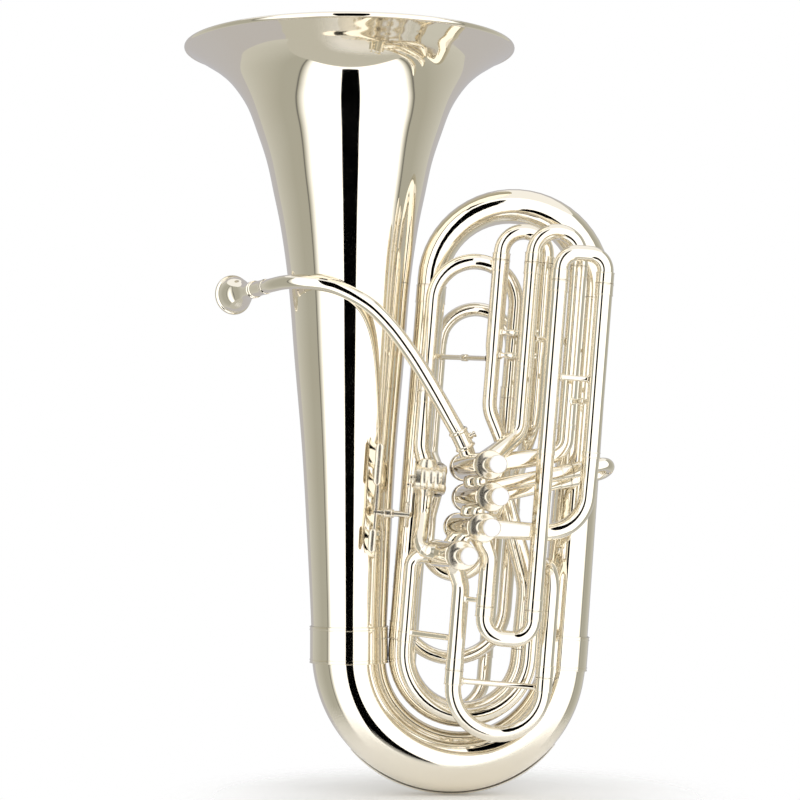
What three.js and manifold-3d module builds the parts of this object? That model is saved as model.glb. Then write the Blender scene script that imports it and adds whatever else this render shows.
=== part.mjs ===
// A compact F tuba with four front-action piston valves and a rotary fifth valve.
// Millimetres, +Z up, +X to the audience's right, +Y towards the player. The origin is the lowest
// point of the bottom bow. The valve tubing leans by LEAN: its pieces sit in a group turned about Y.
import * as THREE from "three";
import { mergeVertices } from "three/addons/utils/BufferGeometryUtils.js";
import Module from "manifold-3d";

const wasm = await Module();
wasm.setup();

const { PI, sin, cos, tan, min } = Math;
const rad = THREE.MathUtils.degToRad;
const V = (x, y, z) => new THREE.Vector3(x, y, z);

// ---- driving dimensions -------------------------------------------------------------------
const LEAN = rad(4.75); // the branches and all valve tubing lean right by this much
const HEIGHT = 833;
const BELL = { x: -118, rimRadius: 185, end: 163, wall: 0.9 };
const BOW = { z: 154, radius: 118, left: 41.5, right: 26.5, wall: 0.9, tail: 9 };
const GUARD = { width: 14, thick: 2.2 };
const BRANCH = { u: 105.2, low: 163, high: 560, rLow: 26.5, rHigh: 22.9 };
const MAIN = { u: -72.8, low: 165, high: 560, rLow: 15.2, rHigh: 16.2 };
const TOP_BOW = { u: 16.2, w: 567.5, radius: 89 };
const INNER_BOW = { right: 61.5, bottom: 88.2, r: 14 };
const GAP = 0.4; // air between pieces that meet
const SIDES = 8; // facets of a tube
const BEND_STEPS = 3; // rings in a quarter bend

const TUBE = { r: 8.7, bore: 7.3 }; // a plain valve tube
const SLEEVE = { r: 9.3, bore: 8.6 }; // outer tube of a slide
const LEG = { r: 8.1, bore: 7.3 }; // inner tube of a slide
const FERRULE = { r: 9.9 };
const REAR = { r: 7.9, bore: 7.1 }; // rear loop tube

const TILT = rad(11.5); // the valve axis turns this far to the right of straight ahead
const VALVES = [
  { u: -22.6, w: 360.4 },
  { u: -17.65, w: 327.2 },
  { u: -23.9, w: 294.4 },
  { u: -44.6, w: 263.2 },
];
const VALVE_Y = -20; // the bottom caps' faces
const CASING = { r: 14.3, bore: 13.3, from: 3, to: 128, sides: 12 };
const CAP = { r: 15.7, bore: 14.8, skirt: 9 };
const PISTON = { r: 12.9, from: 30, to: 112, port: 6.3 };
const STEM = { r: 3.2, to: 156 };
const BUTTON = { r: 9.8, length: 9 };
const SPRING = { r: 9.5, wire: 0.7, turns: 3, from: 3.6, to: 11 };

// The rotary valve lies across the tubing: its closed end is at `end`, its cap towards the bell.
const ROTOR = { end: -40, u: -61.5, y: -35, w: 344.5, length: 33, r: 16.3, bore: 14.9 };
const ARM = { reach: 12, width: 6, thick: 2.5 };
const ROD_LENGTH = 22;
const LEVER = { u: -115, reach: 34, swing: rad(14.45), hinge: 3 };

// ---- solids -------------------------------------------------------------------------------
function solid(geometry) {
  const bare = geometry.clone();
  bare.deleteAttribute("normal");
  bare.deleteAttribute("uv");
  const merged = mergeVertices(bare, 1e-4);
  return new wasm.Manifold(new wasm.Mesh({
    numProp: 3,
    vertProperties: merged.attributes.position.array,
    triVerts: new Uint32Array(merged.index.array),
  }));
}

function geometryOf(shape) {
  const made = shape.getMesh();
  const geometry = new THREE.BufferGeometry();
  geometry.setAttribute("position", new THREE.BufferAttribute(made.vertProperties, 3));
  geometry.setIndex(new THREE.BufferAttribute(made.triVerts, 1));
  geometry.computeVertexNormals();
  return geometry;
}

const join = (first, ...others) => geometryOf(others.reduce((all, g) => all.add(solid(g)), solid(first)));
const cut = (first, ...others) => geometryOf(others.reduce((all, g) => all.subtract(solid(g)), solid(first)));

// A closed profile of [radius, height] points turned about +Z.
function lathe(profile, sides = 24) {
  const points = profile.map(([r, h]) => new THREE.Vector2(r, h));
  return new THREE.LatheGeometry(points, sides).rotateX(PI / 2);
}

// The same, pointing along a direction from a place.
function latheAt(profile, sides, origin, direction) {
  const turn = new THREE.Quaternion().setFromUnitVectors(V(0, 0, 1), direction.clone().normalize());
  return lathe(profile, sides).applyQuaternion(turn).translate(origin.x, origin.y, origin.z);
}

const rod = (r, from, to) => [[0, from], [r, from], [r, to], [0, to]];
const pipe = (r, bore, from, to) => [[bore, from], [r, from], [r, to], [bore, to], [bore, from]];

// A bar of round section between two places.
function bar(a, b, r, sides = 8) {
  const along = b.clone().sub(a);
  return latheAt(rod(r, 0, along.length()), sides, a, along);
}

// ---- routes -------------------------------------------------------------------------------
// A centre line through corner points, each corner rounded to its bend radius.
class Route {
  constructor(corners, bends) {
    this.pieces = [];
    this.marks = [0];
    this.length = 0;
    const bendAt = (i) => (Array.isArray(bends) ? bends[i - 1] : bends);
    let from = corners[0];
    for (let i = 1; i < corners.length - 1; i += 1) {
      const into = corners[i].clone().sub(corners[i - 1]).normalize();
      const out = corners[i + 1].clone().sub(corners[i]).normalize();
      const angle = into.angleTo(out);
      const setback = bendAt(i) * tan(angle / 2);
      const start = corners[i].clone().addScaledVector(into, -setback);
      this.line(from, start);
      this.arc(start, into, out, bendAt(i), angle);
      from = corners[i].clone().addScaledVector(out, setback);
    }
    this.line(from, corners.at(-1));
  }

  line(a, b) {
    const length = a.distanceTo(b);
    if (length < 1e-3) return;
    const t = b.clone().sub(a).normalize();
    this.add(length, 1, (s) => ({ p: a.clone().addScaledVector(t, s), t }));
  }

  arc(start, into, out, radius, angle) {
    const inward = out.clone().addScaledVector(into, -cos(angle)).normalize();
    const centre = start.clone().addScaledVector(inward, radius);
    const place = (s) => {
      const a = s / radius;
      const p = centre.clone().addScaledVector(inward, -radius * cos(a))
        .addScaledVector(into, radius * sin(a));
      return { p, t: into.clone().multiplyScalar(cos(a)).addScaledVector(inward, sin(a)) };
    };
    this.add(radius * angle, Math.max(1, Math.round((BEND_STEPS * angle) / (PI / 2))), place);
  }

  add(length, steps, place) {
    this.pieces.push({ from: this.length, length, place });
    for (let i = 1; i <= steps; i += 1) this.marks.push(this.length + (length * i) / steps);
    this.length += length;
  }

  at(s) {
    const piece = this.pieces.findLast((each) => s >= each.from - 1e-6) ?? this.pieces[0];
    return piece.place(min(s - piece.from, piece.length));
  }
}

// A smooth curve through points, with the same face as a Route.
function smoothRoute(points, rings) {
  const curve = new THREE.CatmullRomCurve3(points, false, "centripetal");
  const length = curve.getLength();
  return {
    length,
    marks: Array.from({ length: rings + 1 }, (_, i) => (length * i) / rings),
    at: (s) => ({ p: curve.getPointAt(s / length), t: curve.getTangentAt(s / length) }),
  };
}

// Radius at a distance along a route, from [distance, radius] pairs; two pairs at one distance make a step.
function radiusAt(profile, s) {
  const after = profile.findIndex(([at]) => at >= s - 1e-6);
  if (after <= 0) return profile[after < 0 ? profile.length - 1 : 0][1];
  const [s0, r0] = profile[after - 1];
  const [s1, r1] = profile[after];
  return s1 - s0 < 1e-6 ? r0 : r0 + ((r1 - r0) * (s - s0)) / (s1 - s0);
}

// The rings of one wall: [distance, radius] at the route's marks and at the profile's own points.
function ringList(route, profile) {
  const steps = profile.filter(([s]) => s >= 0 && s <= route.length + 1e-6);
  const between = route.marks
    .filter((s) => steps.every(([at]) => Math.abs(at - s) > 0.05))
    .map((s) => [s, radiusAt(profile, s)]);
  return [...steps, ...between].sort((a, b) => a[0] - b[0]);
}

// A hollow tube along a route. Each profile is a radius or a list of [distance, radius] pairs.
function tube(route, outer, inner, sides = SIDES) {
  const whole = (r) => (Array.isArray(r) ? r : [[0, r], [route.length, r]]);
  const positions = [];
  const index = [];
  const walls = [outer, inner].map((profile) => {
    let across = V(0, 1, 0.02);
    return ringList(route, whole(profile)).map(([s, r]) => {
      const { p, t } = route.at(s);
      across = across.clone().addScaledVector(t, -across.dot(t)).normalize();
      const up = t.clone().cross(across);
      const first = positions.length / 3;
      for (let k = 0; k < sides; k += 1) {
        const a = (2 * PI * k) / sides;
        const v = p.clone().addScaledVector(across, r * cos(a)).addScaledVector(up, r * sin(a));
        positions.push(v.x, v.y, v.z);
      }
      return first;
    });
  });
  const band = (a, b) => {
    for (let k = 0; k < sides; k += 1) {
      const n = (k + 1) % sides;
      index.push(a + k, a + n, b + n, a + k, b + n, b + k);
    }
  };
  const [out, inn] = walls;
  for (let i = 1; i < out.length; i += 1) band(out[i - 1], out[i]);
  for (let i = 1; i < inn.length; i += 1) band(inn[i], inn[i - 1]);
  band(inn[0], out[0]);
  band(out.at(-1), inn.at(-1));
  const geometry = new THREE.BufferGeometry();
  geometry.setAttribute("position", new THREE.Float32BufferAttribute(positions, 3));
  geometry.setIndex(index);
  geometry.computeVertexNormals();
  return geometry;
}

// ---- materials ----------------------------------------------------------------------------
const silver = () => new THREE.MeshStandardMaterial({ color: 0xd9d4c6, roughness: 0.12, metalness: 1 });
const nickel = () => new THREE.MeshStandardMaterial({ color: 0xcfcdc4, roughness: 0.25, metalness: 1 });
const steel = () => new THREE.MeshStandardMaterial({ color: 0x8f9194, roughness: 0.35, metalness: 1 });

const tuba = new THREE.Group();
const tubing = new THREE.Group();
tubing.rotation.y = LEAN;
tuba.add(tubing);

function piece(group, name, geometry, material = silver()) {
  const mesh = new THREE.Mesh(geometry, material);
  mesh.name = name;
  group.add(mesh);
}

// ---- bell and branches --------------------------------------------------------------------
// The bell's flare: outer radius at each height above the ground.
const FLARE = [
  [41.6, BELL.end], [42.2, 190], [46, 270], [52.4, 380], [61, 480], [68.5, 570], [77, 630],
  [84.6, 667], [92.5, 703], [102.6, 734], [115.5, 767], [133.5, 793],
  [149, 807], [166, 818], [181, HEIGHT - 6],
];

function bell() {
  const rim = [[BELL.rimRadius - 1, HEIGHT - 6], [BELL.rimRadius, HEIGHT - 3], [BELL.rimRadius - 1, HEIGHT]];
  const inside = FLARE.map(([r, z]) => [r - BELL.wall, z + (r > 100 ? 1 : 0)]).reverse();
  const profile = [...FLARE, ...rim, [BELL.rimRadius - 6, HEIGHT], ...inside, FLARE[0]];
  return lathe(profile, 28).translate(BELL.x, 0, 0);
}

// A sleeve with a bead at each end.
const ferrule = (bore, r, low, high) => [
  [bore, low], [r + 0.6, low], [r, low + 4], [r, high - 4], [r + 0.6, high], [bore, high], [bore, low],
];

const bowLead = BELL.end - GAP - BOW.z; // straight stretch under the bell
const bowTaper = bowLead + BOW.radius * (PI - LEAN) - 12; // the bow is full size beyond this length
// The bottom bow leaves the bell straight down and ends along the leaning outer branch.
function bottomBowRoute() {
  const centre = V(0, 0, BOW.z);
  const place = (s) => {
    const a = PI + s / BOW.radius;
    const p = centre.clone().add(V(BOW.radius * cos(a), 0, BOW.radius * sin(a)));
    return { p, t: V(-sin(a), 0, cos(a)) };
  };
  const route = new Route([V(BELL.x, 0, BELL.end - GAP), V(BELL.x, 0, BOW.z)], 0);
  route.add(BOW.radius * (PI - LEAN), 12, place);
  const end = route.at(route.length);
  route.line(end.p, end.p.clone().addScaledVector(end.t, BOW.tail));
  return route;
}

function bottomBow() {
  const route = bottomBowRoute();
  const taper = (inset) => [
    [0, BOW.left - inset], [bowTaper, BOW.right - inset], [route.length, BOW.right - inset],
  ];
  return tube(route, taper(0), taper(BOW.wall), 14);
}

// A rib of flattened section on the outside of the bow, where it is set down.
function bowGuard() {
  const [first, last, steps] = [rad(222), rad(318), 12];
  const { width, thick } = GUARD;
  const shape = new THREE.Shape();
  shape.moveTo(-width / 2, 0);
  shape.lineTo(width / 2, 0);
  shape.lineTo(width / 3, thick);
  shape.lineTo(-width / 3, thick);
  const along = new THREE.CatmullRomCurve3(Array.from({ length: steps + 1 }, (_, i) => {
    const a = first + ((last - first) * i) / steps;
    const share = (bowLead + BOW.radius * (a - PI)) / bowTaper;
    const reach = BOW.radius + BOW.left + (BOW.right - BOW.left) * share + GAP;
    return V(reach * cos(a), 0, BOW.z + reach * sin(a));
  }));
  return new THREE.ExtrudeGeometry(shape, { steps, extrudePath: along });
}

const straight = (u, y, low, high) => new Route([V(u, y, low), V(u, y, high)], 0);

function outerBranch() {
  const route = straight(BRANCH.u, 0, BRANCH.low, BRANCH.high);
  return tube(route, [[0, BRANCH.rLow], [route.length, BRANCH.rHigh]],
    [[0, BRANCH.rLow - 0.9], [route.length, BRANCH.rHigh - 0.9]], 14);
}

function topBow() {
  const [left, right] = [TOP_BOW.u - TOP_BOW.radius, TOP_BOW.u + TOP_BOW.radius];
  const top = TOP_BOW.w + TOP_BOW.radius;
  const route = new Route([V(left, 0, MAIN.high + GAP), V(left, 0, top), V(right, 0, top),
    V(right, 0, BRANCH.high + GAP)], TOP_BOW.radius);
  return tube(route, [[0, MAIN.rHigh], [route.length, BRANCH.rHigh]],
    [[0, MAIN.rHigh - 0.9], [route.length, BRANCH.rHigh - 0.9]], 14);
}

function innerBranch() {
  const route = straight(MAIN.u, 0, MAIN.low + GAP, MAIN.high);
  return tube(route, [[0, MAIN.rLow], [route.length, MAIN.rHigh]],
    [[0, MAIN.rLow - 0.8], [route.length, MAIN.rHigh - 0.8]], 14);
}

function innerBow() {
  const { right, bottom, r } = INNER_BOW;
  const bend = (right - MAIN.u) / 2;
  const route = new Route([V(MAIN.u, 0, MAIN.low), V(MAIN.u, 0, bottom), V(right, 0, bottom),
    V(right, 0, MAIN.low)], bend);
  return tube(route, [[0, r + 1], [route.length, r - 0.6]], [[0, r + 0.2], [route.length, r - 1.4]], 12);
}

piece(tuba, "bell", bell());
piece(tuba, "bell_ferrule", lathe(ferrule(42.7, 43.2, 145, 185), 28).translate(BELL.x, 0, 0));
piece(tuba, "bottom_bow", bottomBow());
piece(tuba, "bow_guard", bowGuard(), nickel());
piece(tubing, "bow_ferrule", lathe(ferrule(27.4, 28, 147, 185), 20).translate(BRANCH.u, 0, 0));
piece(tubing, "outer_branch", outerBranch());
piece(tubing, "top_bow", topBow());
piece(tubing, "inner_branch", innerBranch());
piece(tubing, "inner_bow", innerBow());

// ---- valves -------------------------------------------------------------------------------
const valveAxis = V(sin(TILT) * cos(LEAN), -cos(TILT), sin(TILT) * sin(LEAN));
const valveFoot = ({ u, w }) => V(u, VALVE_Y, w);
// The point on a valve's axis at a depth y.
const onValve = (n, y) => valveFoot(VALVES[n - 1]).addScaledVector(valveAxis, (y - VALVE_Y) / valveAxis.y);
const inValve = (n, profile, sides = CASING.sides) =>
  latheAt(profile, sides, valveFoot(VALVES[n - 1]), valveAxis);

// The space a tube keeps clear of: each casing with its caps.
function valveSpace() {
  const spaces = [1, 2, 3, 4].map((n) => inValve(n, [
    [0, -6], [CAP.r + 0.5, -6], [CAP.r + 0.5, 12.5], [CASING.r + GAP, 12.5],
    [CASING.r + GAP, 118], [CAP.r + 0.5, 118], [CAP.r + 0.5, 140], [0, 140],
  ]));
  return join(...spaces);
}
const VALVE_SPACE = valveSpace();

// Four casings soldered together by the short tubes that join their ports.
function valveBlock() {
  const casings = [1, 2, 3, 4].map((n) => inValve(n, rod(CASING.r, CASING.from, CASING.to)));
  const links = [1, 2, 3].map((n) => bar(onValve(n, -57), onValve(n + 1, -57), 8, 10));
  const bores = [1, 2, 3, 4].map((n) => inValve(n, rod(CASING.bore, -5, 140)));
  const ways = [1, 2, 3].map((n) => bar(onValve(n, -57), onValve(n + 1, -57), 6.6, 10));
  return cut(join(...casings, ...links), ...bores, ...ways);
}

const bottomCap = [
  [0, -2.4], [3, -2.4], [4, -1], [11, 0], [CAP.r - 1, 0.8], [CAP.r, 2], [CAP.r, CAP.skirt],
  [CAP.bore, CAP.skirt], [CAP.bore, 2.7], [0, 2.7],
];
const topCap = [
  [STEM.r + 0.6, 128.5], [CAP.bore, 128.5], [CAP.bore, 121], [CAP.r, 121], [CAP.r, 129.5],
  [CAP.r - 2, 131], [7, 131.8], [6.4, 134.5], [STEM.r + 0.6, 134.5], [STEM.r + 0.6, 128.5],
];

// A piston has two cross ports and a hollow top.
function piston(n) {
  const body = inValve(n, [
    [0, PISTON.from], [PISTON.r, PISTON.from], [PISTON.r, PISTON.to], [PISTON.r - 2, PISTON.to],
    [PISTON.r - 2, PISTON.to - 14], [0, PISTON.to - 14],
  ]);
  const across = V(0, 0, 1).cross(valveAxis).normalize().multiplyScalar(20);
  const port = (y) => {
    const middle = onValve(n, y);
    return bar(middle.clone().sub(across), middle.clone().add(across), PISTON.port, 8);
  };
  return cut(body, port(-64), port(-84));
}

const button = [
  [0, PISTON.to - 13.6], [STEM.r, PISTON.to - 13.6], [STEM.r, STEM.to], [BUTTON.r - 1.5, STEM.to + 1.5],
  [BUTTON.r, STEM.to + 3], [BUTTON.r, STEM.to + BUTTON.length - 1.5],
  [BUTTON.r - 1.2, STEM.to + BUTTON.length], [0, STEM.to + BUTTON.length],
];

// The spring under a piston, drawn at the length it has with the valve pressed.
function spring(n) {
  const { r, wire, turns, from, to } = SPRING;
  const foot = valveFoot(VALVES[n - 1]);
  const side = V(0, 0, 1).cross(valveAxis).normalize();
  const other = valveAxis.clone().cross(side);
  class Helix extends THREE.Curve {
    getPoint(share) {
      const a = 2 * PI * turns * share;
      return foot.clone().addScaledVector(valveAxis, from + (to - from) * share)
        .addScaledVector(side, r * cos(a)).addScaledVector(other, r * sin(a));
    }
  }
  const shape = new THREE.Shape([[1, 0], [0, 1], [-1, 0], [0, -1]].map(([x, y]) =>
    new THREE.Vector2(x * wire, y * wire)));
  return new THREE.ExtrudeGeometry(shape, { steps: 8 * turns, extrudePath: new Helix() });
}

piece(tubing, "valve_block", valveBlock());
for (const n of [1, 2, 3, 4]) {
  piece(tubing, `bottom_cap_${n}`, inValve(n, bottomCap), nickel());
  piece(tubing, `top_cap_${n}`, inValve(n, topCap), nickel());
  piece(tubing, `piston_${n}`, piston(n), nickel());
  piece(tubing, `piston_spring_${n}`, spring(n), steel());
  piece(tubing, `finger_button_${n}`, inValve(n, button, 16));
}

// ---- slides -------------------------------------------------------------------------------
const clearOfValves = (geometry) => cut(geometry, VALVE_SPACE);
const inRotor = (profile, sides = 20) =>
  latheAt(profile, sides, V(ROTOR.end, ROTOR.y, ROTOR.w), V(-1, 0, 0));
const clearOfRotor = (geometry) => cut(geometry, inRotor(rod(ROTOR.r + 1, -1, ROTOR.length + 6)));
const PORT = { u: -48.5, y: -26, low: 335, high: 354 }; // where the rear loop meets the rotary valve
const sleeve = (corners, bends) => clearOfValves(tube(new Route(corners, bends), SLEEVE.r, SLEEVE.bore));

// The moving crook of a slide: a bow with a ferrule and a thinner leg at each end. Its sleeves end at
// the `mouth` height, `way` is +1 when the bow is above them, and `flat` is the bow's corner radius.
function crook({ left, right, y, mouth, reach, way, flat, legs, ring }) {
  const tip = mouth - way * legs;
  const route = new Route([V(left, y, tip), V(left, y, reach), V(right, y, reach), V(right, y, tip)], flat);
  return crookTube(route, legs, TUBE.r, { r: FERRULE.r, length: ring }, LEG);
}

function crookTube(route, legs, r, ring, leg) {
  const edge = legs + GAP;
  const half = [
    [0, leg.r], [edge, leg.r], [edge, ring.r], [edge + ring.length, ring.r], [edge + ring.length, r],
  ];
  const mirrored = half.map(([s, radius]) => [route.length - s, radius]).reverse();
  return tube(route, [...half, ...mirrored], leg.bore);
}

const SLIDES = {
  tuning_slide: {
    left: -69.7, right: 21.7, y: -30, mouth: 440, reach: 587.7,
    way: 1, flat: 45.7, legs: 50, ring: 12,
  },
  first_valve_slide: {
    left: 35, right: 84.5, y: -70, mouth: 587, reach: 623,
    way: 1, flat: 24.7, legs: 70, ring: 10.8,
  },
  fifth_valve_slide: {
    left: 0.5, right: 49, y: -50, mouth: 589, reach: 622.5,
    way: 1, flat: 24.2, legs: 70, ring: 7.5,
  },
  third_valve_upper_slide: {
    left: 62.5, right: 110.5, y: -110, mouth: 566, reach: 597,
    way: 1, flat: 18, legs: 70, ring: 12,
  },
  third_valve_lower_slide: {
    left: 11, right: 62.5, y: -110, mouth: 213, reach: 181,
    way: -1, flat: 21, legs: 30, ring: 10.5,
  },
  fourth_valve_slide: {
    left: -15.2, right: 81.2, y: -85, mouth: 142, reach: 77.8,
    way: -1, flat: 48.2, legs: 60, ring: 15.5,
  },
};
const S = SLIDES;

// Both legs of the fourth valve's slide are tied by a round bar below its ferrules.
function fourthSlide() {
  const { left, right, y } = S.fourth_valve_slide;
  const tie = bar(V(left + 8, y, 131), V(right - 8, y, 131), 3);
  return join(crook(S.fourth_valve_slide), tie);
}

for (const [name, size] of Object.entries(SLIDES)) {
  piece(tubing, name, name === "fourth_valve_slide" ? fourthSlide() : crook(size));
}

// The second valve's slide points right, square to its valve's axis, its two legs one behind the other.
const SECOND = { rise: rad(16), from: -6, w: 331.3, y: -83, spread: 9.5, drop: 5, mouth: 106, reach: 149 };
const secondAlong = V(cos(SECOND.rise) * cos(TILT), cos(SECOND.rise) * sin(TILT), sin(SECOND.rise));
const secondLeg = (side, distance) =>
  V(SECOND.from, SECOND.y + side * SECOND.spread, SECOND.w - side * SECOND.drop)
    .addScaledVector(secondAlong, distance);

function secondSlide() {
  const legs = 60;
  const [a, b] = [1, -1].map((side) => secondLeg(side, SECOND.mouth - legs));
  const far = [1, -1].map((side) => secondLeg(side, SECOND.reach));
  const route = new Route([a, ...far, b], a.distanceTo(b) / 2);
  return crookTube(route, legs, 7.2, { r: 8.1, length: 5 }, { r: 6.3, bore: 5.6 });
}

function secondTubes() {
  const routes = [1, -1].map((side) => new Route([secondLeg(side, 0), secondLeg(side, SECOND.mouth)], 0));
  const tubes = routes.map((route) => tube(route, 7.5, 6.8));
  const tie = bar(secondLeg(1, 80), secondLeg(-1, 80), 2.5, 6);
  const ways = [1, -1].map((side) => bar(secondLeg(side, 20), secondLeg(side, 120), 6.8, SIDES));
  return clearOfValves(join(...tubes, cut(tie, ...ways)));
}

piece(tubing, "second_valve_slide", secondSlide());
piece(tubing, "second_valve_tubes", secondTubes());

// ---- loops --------------------------------------------------------------------------------
// A tie between the walls of two upright sleeves.
const tieBetween = (left, right, y, w, r = 3) => bar(V(left + 8.4, y, w), V(right - 8.4, y, w), r);

function firstTubes() {
  const { left, right, y, mouth } = S.first_valve_slide;
  const inner = sleeve([V(left, y, mouth), V(left, y, 400), onValve(1, -104)], 22);
  const outer = sleeve([V(right, y, mouth), V(right, y, 383), onValve(1, -76)], 20);
  return join(inner, outer, tieBetween(left, right, y, 505));
}

function thirdTubes() {
  const { left, right, y, mouth } = S.third_valve_upper_slide;
  const long = sleeve([V(left, y, mouth), V(left, y, S.third_valve_lower_slide.mouth)], 0);
  const outer = sleeve([V(right, y, mouth), V(right, y, 380), V(right, -90, 297), onValve(3, -90)], [60, 44]);
  return join(long, outer, tieBetween(left, right, y, 463));
}

function thirdReturn() {
  const { left, y, mouth } = S.third_valve_lower_slide;
  return sleeve([V(left, y, mouth), V(left, y, 266), onValve(3, y)], 22);
}

function fourthInlet() {
  const { left, y, mouth } = S.fourth_valve_slide;
  return sleeve([V(left, y, mouth), V(left, y, 232), onValve(4, -100)], 25);
}

// A sleeve that narrows to a plain tube after a length.
function narrowing(route, length, { r, bore }) {
  const walls = (wide, narrow) => [[0, wide], [length, wide], [length + 4, narrow], [route.length, narrow]];
  return tube(route, walls(SLEEVE.r, r), walls(SLEEVE.bore, bore));
}

// From the slide up, over a short bend, down and round the bottom, and up to the fourth valve.
function fourthReturn() {
  const { right, y, mouth } = S.fourth_valve_slide;
  const [outer, inner, depth, bottom] = [-69.3, 66.5, -35, 89.5];
  const top = 261;
  const back = V(inner, depth, top);
  const front = V(right, y, top);
  const bend = back.distanceTo(front) / 2;
  const low = (inner - outer) / 2;
  const route = new Route([V(right, y, mouth), front, back, V(inner, depth, bottom), V(outer, depth, bottom),
    V(outer, depth - 2, 260), onValve(4, -50)], [bend, bend, low, low, 14]);
  return clearOfValves(narrowing(route, 90, TUBE));
}

const rearTube = (corners, bends) => tube(new Route(corners, bends), REAR.r, REAR.bore);

// Down from the fifth valve's slide, past the valves, round a small bow and up to the rotary valve.
function fifthFront() {
  const { left, y, mouth } = S.fifth_valve_slide;
  const [inner, outer, depth, bottom] = [10, -54, 14, 241];
  const low = (inner - outer) / 2;
  const route = new Route([V(left, y, mouth), V(left, y, 425), V(18, y, 390), V(18, y, 322),
    V(inner, depth, 283), V(inner, depth, bottom), V(outer, depth, bottom), V(outer, depth, 305),
    V(PORT.u, 6, PORT.low), V(PORT.u, PORT.y, PORT.low)], [40, 40, 30, 26, low, low, 20, 12]);
  return clearOfRotor(narrowing(route, 95, REAR));
}

function fifthLower() {
  const { right, y, mouth } = S.fifth_valve_slide;
  const [inner, outer, depth, bottom] = [38.5, -80, 24, 147.7];
  const low = (inner - outer) / 2;
  const route = new Route([V(right, y, mouth), V(right + 1, y, 412), V(inner, depth, 352),
    V(inner, depth, bottom), V(outer, depth, bottom), V(outer, depth, 235)], [40, 40, low, low]);
  return narrowing(route, 95, REAR);
}

// Over a short bend, round the lowest rear bow, up behind the valves, over the rear top bow and down
// to the rotary valve. A stay ties it to the fifth valve's front tube.
function fifthRear() {
  const [depth, left, right] = [42, -58, 24];
  const [low, top] = [86.3, 541.6];
  const jLeft = -63;
  const bend = V(-80, 24, 0).distanceTo(V(jLeft, depth, 0)) / 2;
  const lowBend = (right - 2 - jLeft) / 2;
  const topBend = (right - left) / 2;
  const route = new Route([V(-80, 24, 235 + GAP), V(-80, 24, 262), V(jLeft, depth, 262),
    V(jLeft, depth, low), V(right - 2, depth, low), V(right, depth, top), V(left, depth, top),
    V(left, depth, 374), V(PORT.u, 20, PORT.high), V(PORT.u, PORT.y, PORT.high)],
  [bend, bend, lowBend, lowBend - 0.6, topBend - 0.6, topBend, 18, 14]);
  const stay = bar(V(left + 3.8, depth - 6.4, 484), V(-4.7, -41.3, 481), 3);
  return join(clearOfRotor(tube(route, REAR.r, REAR.bore)), stay);
}

// The main tube after the tuning slide: it grows as it swings behind the valves to the inner bow.
function tuningRiser() {
  const { right, y, mouth } = S.tuning_slide;
  const route = new Route([V(right, y, mouth), V(right, y, 345), V(INNER_BOW.right, 0, 235),
    V(INNER_BOW.right, 0, MAIN.low + GAP)], 60);
  const start = 90;
  return tube(route, [[0, SLEEVE.r], [start, SLEEVE.r], [route.length, INNER_BOW.r - 0.6]],
    [[0, SLEEVE.bore], [start, SLEEVE.bore], [route.length, INNER_BOW.r - 1.4]]);
}

// ---- rotary valve -------------------------------------------------------------------------
function tuningSleeve() {
  const { left, y, mouth } = S.tuning_slide;
  const route = new Route([V(left, y, mouth), V(left, y, 378), V(ROTOR.u, ROTOR.y, ROTOR.w)], 30);
  return clearOfRotor(tube(route, SLEEVE.r, SLEEVE.bore));
}

function rotorInlet() {
  const route = new Route([onValve(4, -72), V(-63.5, -62, 267), V(ROTOR.u, -37, 306),
    V(ROTOR.u, ROTOR.y, ROTOR.w)], [16, 20]);
  return clearOfRotor(clearOfValves(tube(route, TUBE.r - 0.6, TUBE.bore - 0.6)));
}

function rotorCasing() {
  const body = inRotor([[0, 0], [ROTOR.r, 0], [ROTOR.r, ROTOR.length], [ROTOR.bore, ROTOR.length],
    [ROTOR.bore, 2], [0, 2]]);
  const middle = V(ROTOR.u, ROTOR.y, ROTOR.w);
  const ways = [[24, 8], [-24, 7]].map(([reach, r]) =>
    bar(middle, V(ROTOR.u, ROTOR.y, ROTOR.w + reach), r, 10));
  const rear = [PORT.low, PORT.high].map((w) => bar(V(PORT.u, 0, w), V(PORT.u, -32, w), 4, 8));
  return cut(body, ...ways, ...rear);
}

// The rotor turns in the casing; two scallops pass the air, and its shaft ends in the stop arm.
function rotor() {
  const r = ROTOR.bore - 0.5;
  const body = inRotor([[0, 2.6], [r, 2.6], [r, 30], [3, 30], [3, 36], [0, 36]]);
  const scallop = (y) => bar(V(ROTOR.u, y, ROTOR.w - 30), V(ROTOR.u, y, ROTOR.w + 30), 8, 10);
  return cut(body, scallop(ROTOR.y + 17), scallop(ROTOR.y - 17));
}

const rotorCap = () => inRotor([
  [3.6, 30.6], [14.2, 30.6], [14.2, 33.4], [ROTOR.r + 0.6, 33.4], [ROTOR.r + 0.6, 35.4],
  [3.6, 35.4], [3.6, 30.6],
]);

// ---- lever --------------------------------------------------------------------------------
// A flat bar with round ends between two (y, w) places, in a plane of constant u.
function flatBar(from, to, width, u, thick) {
  const along = to.clone().sub(from);
  const length = along.length();
  const shape = new THREE.Shape();
  shape.absarc(0, 0, width / 2, PI / 2, (3 * PI) / 2);
  shape.absarc(length, 0, width / 2, -PI / 2, PI / 2);
  const angle = Math.atan2(along.y, along.x);
  const upright = new THREE.Matrix4().makeBasis(V(0, 1, 0), V(0, 0, 1), V(1, 0, 0));
  return new THREE.ExtrudeGeometry(shape, { depth: thick, bevelEnabled: false, curveSegments: 5 })
    .rotateZ(angle).translate(from.x, from.y, 0).applyMatrix4(upright).translate(u, 0, 0);
}
const P2 = (y, w) => new THREE.Vector2(y, w);

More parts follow.
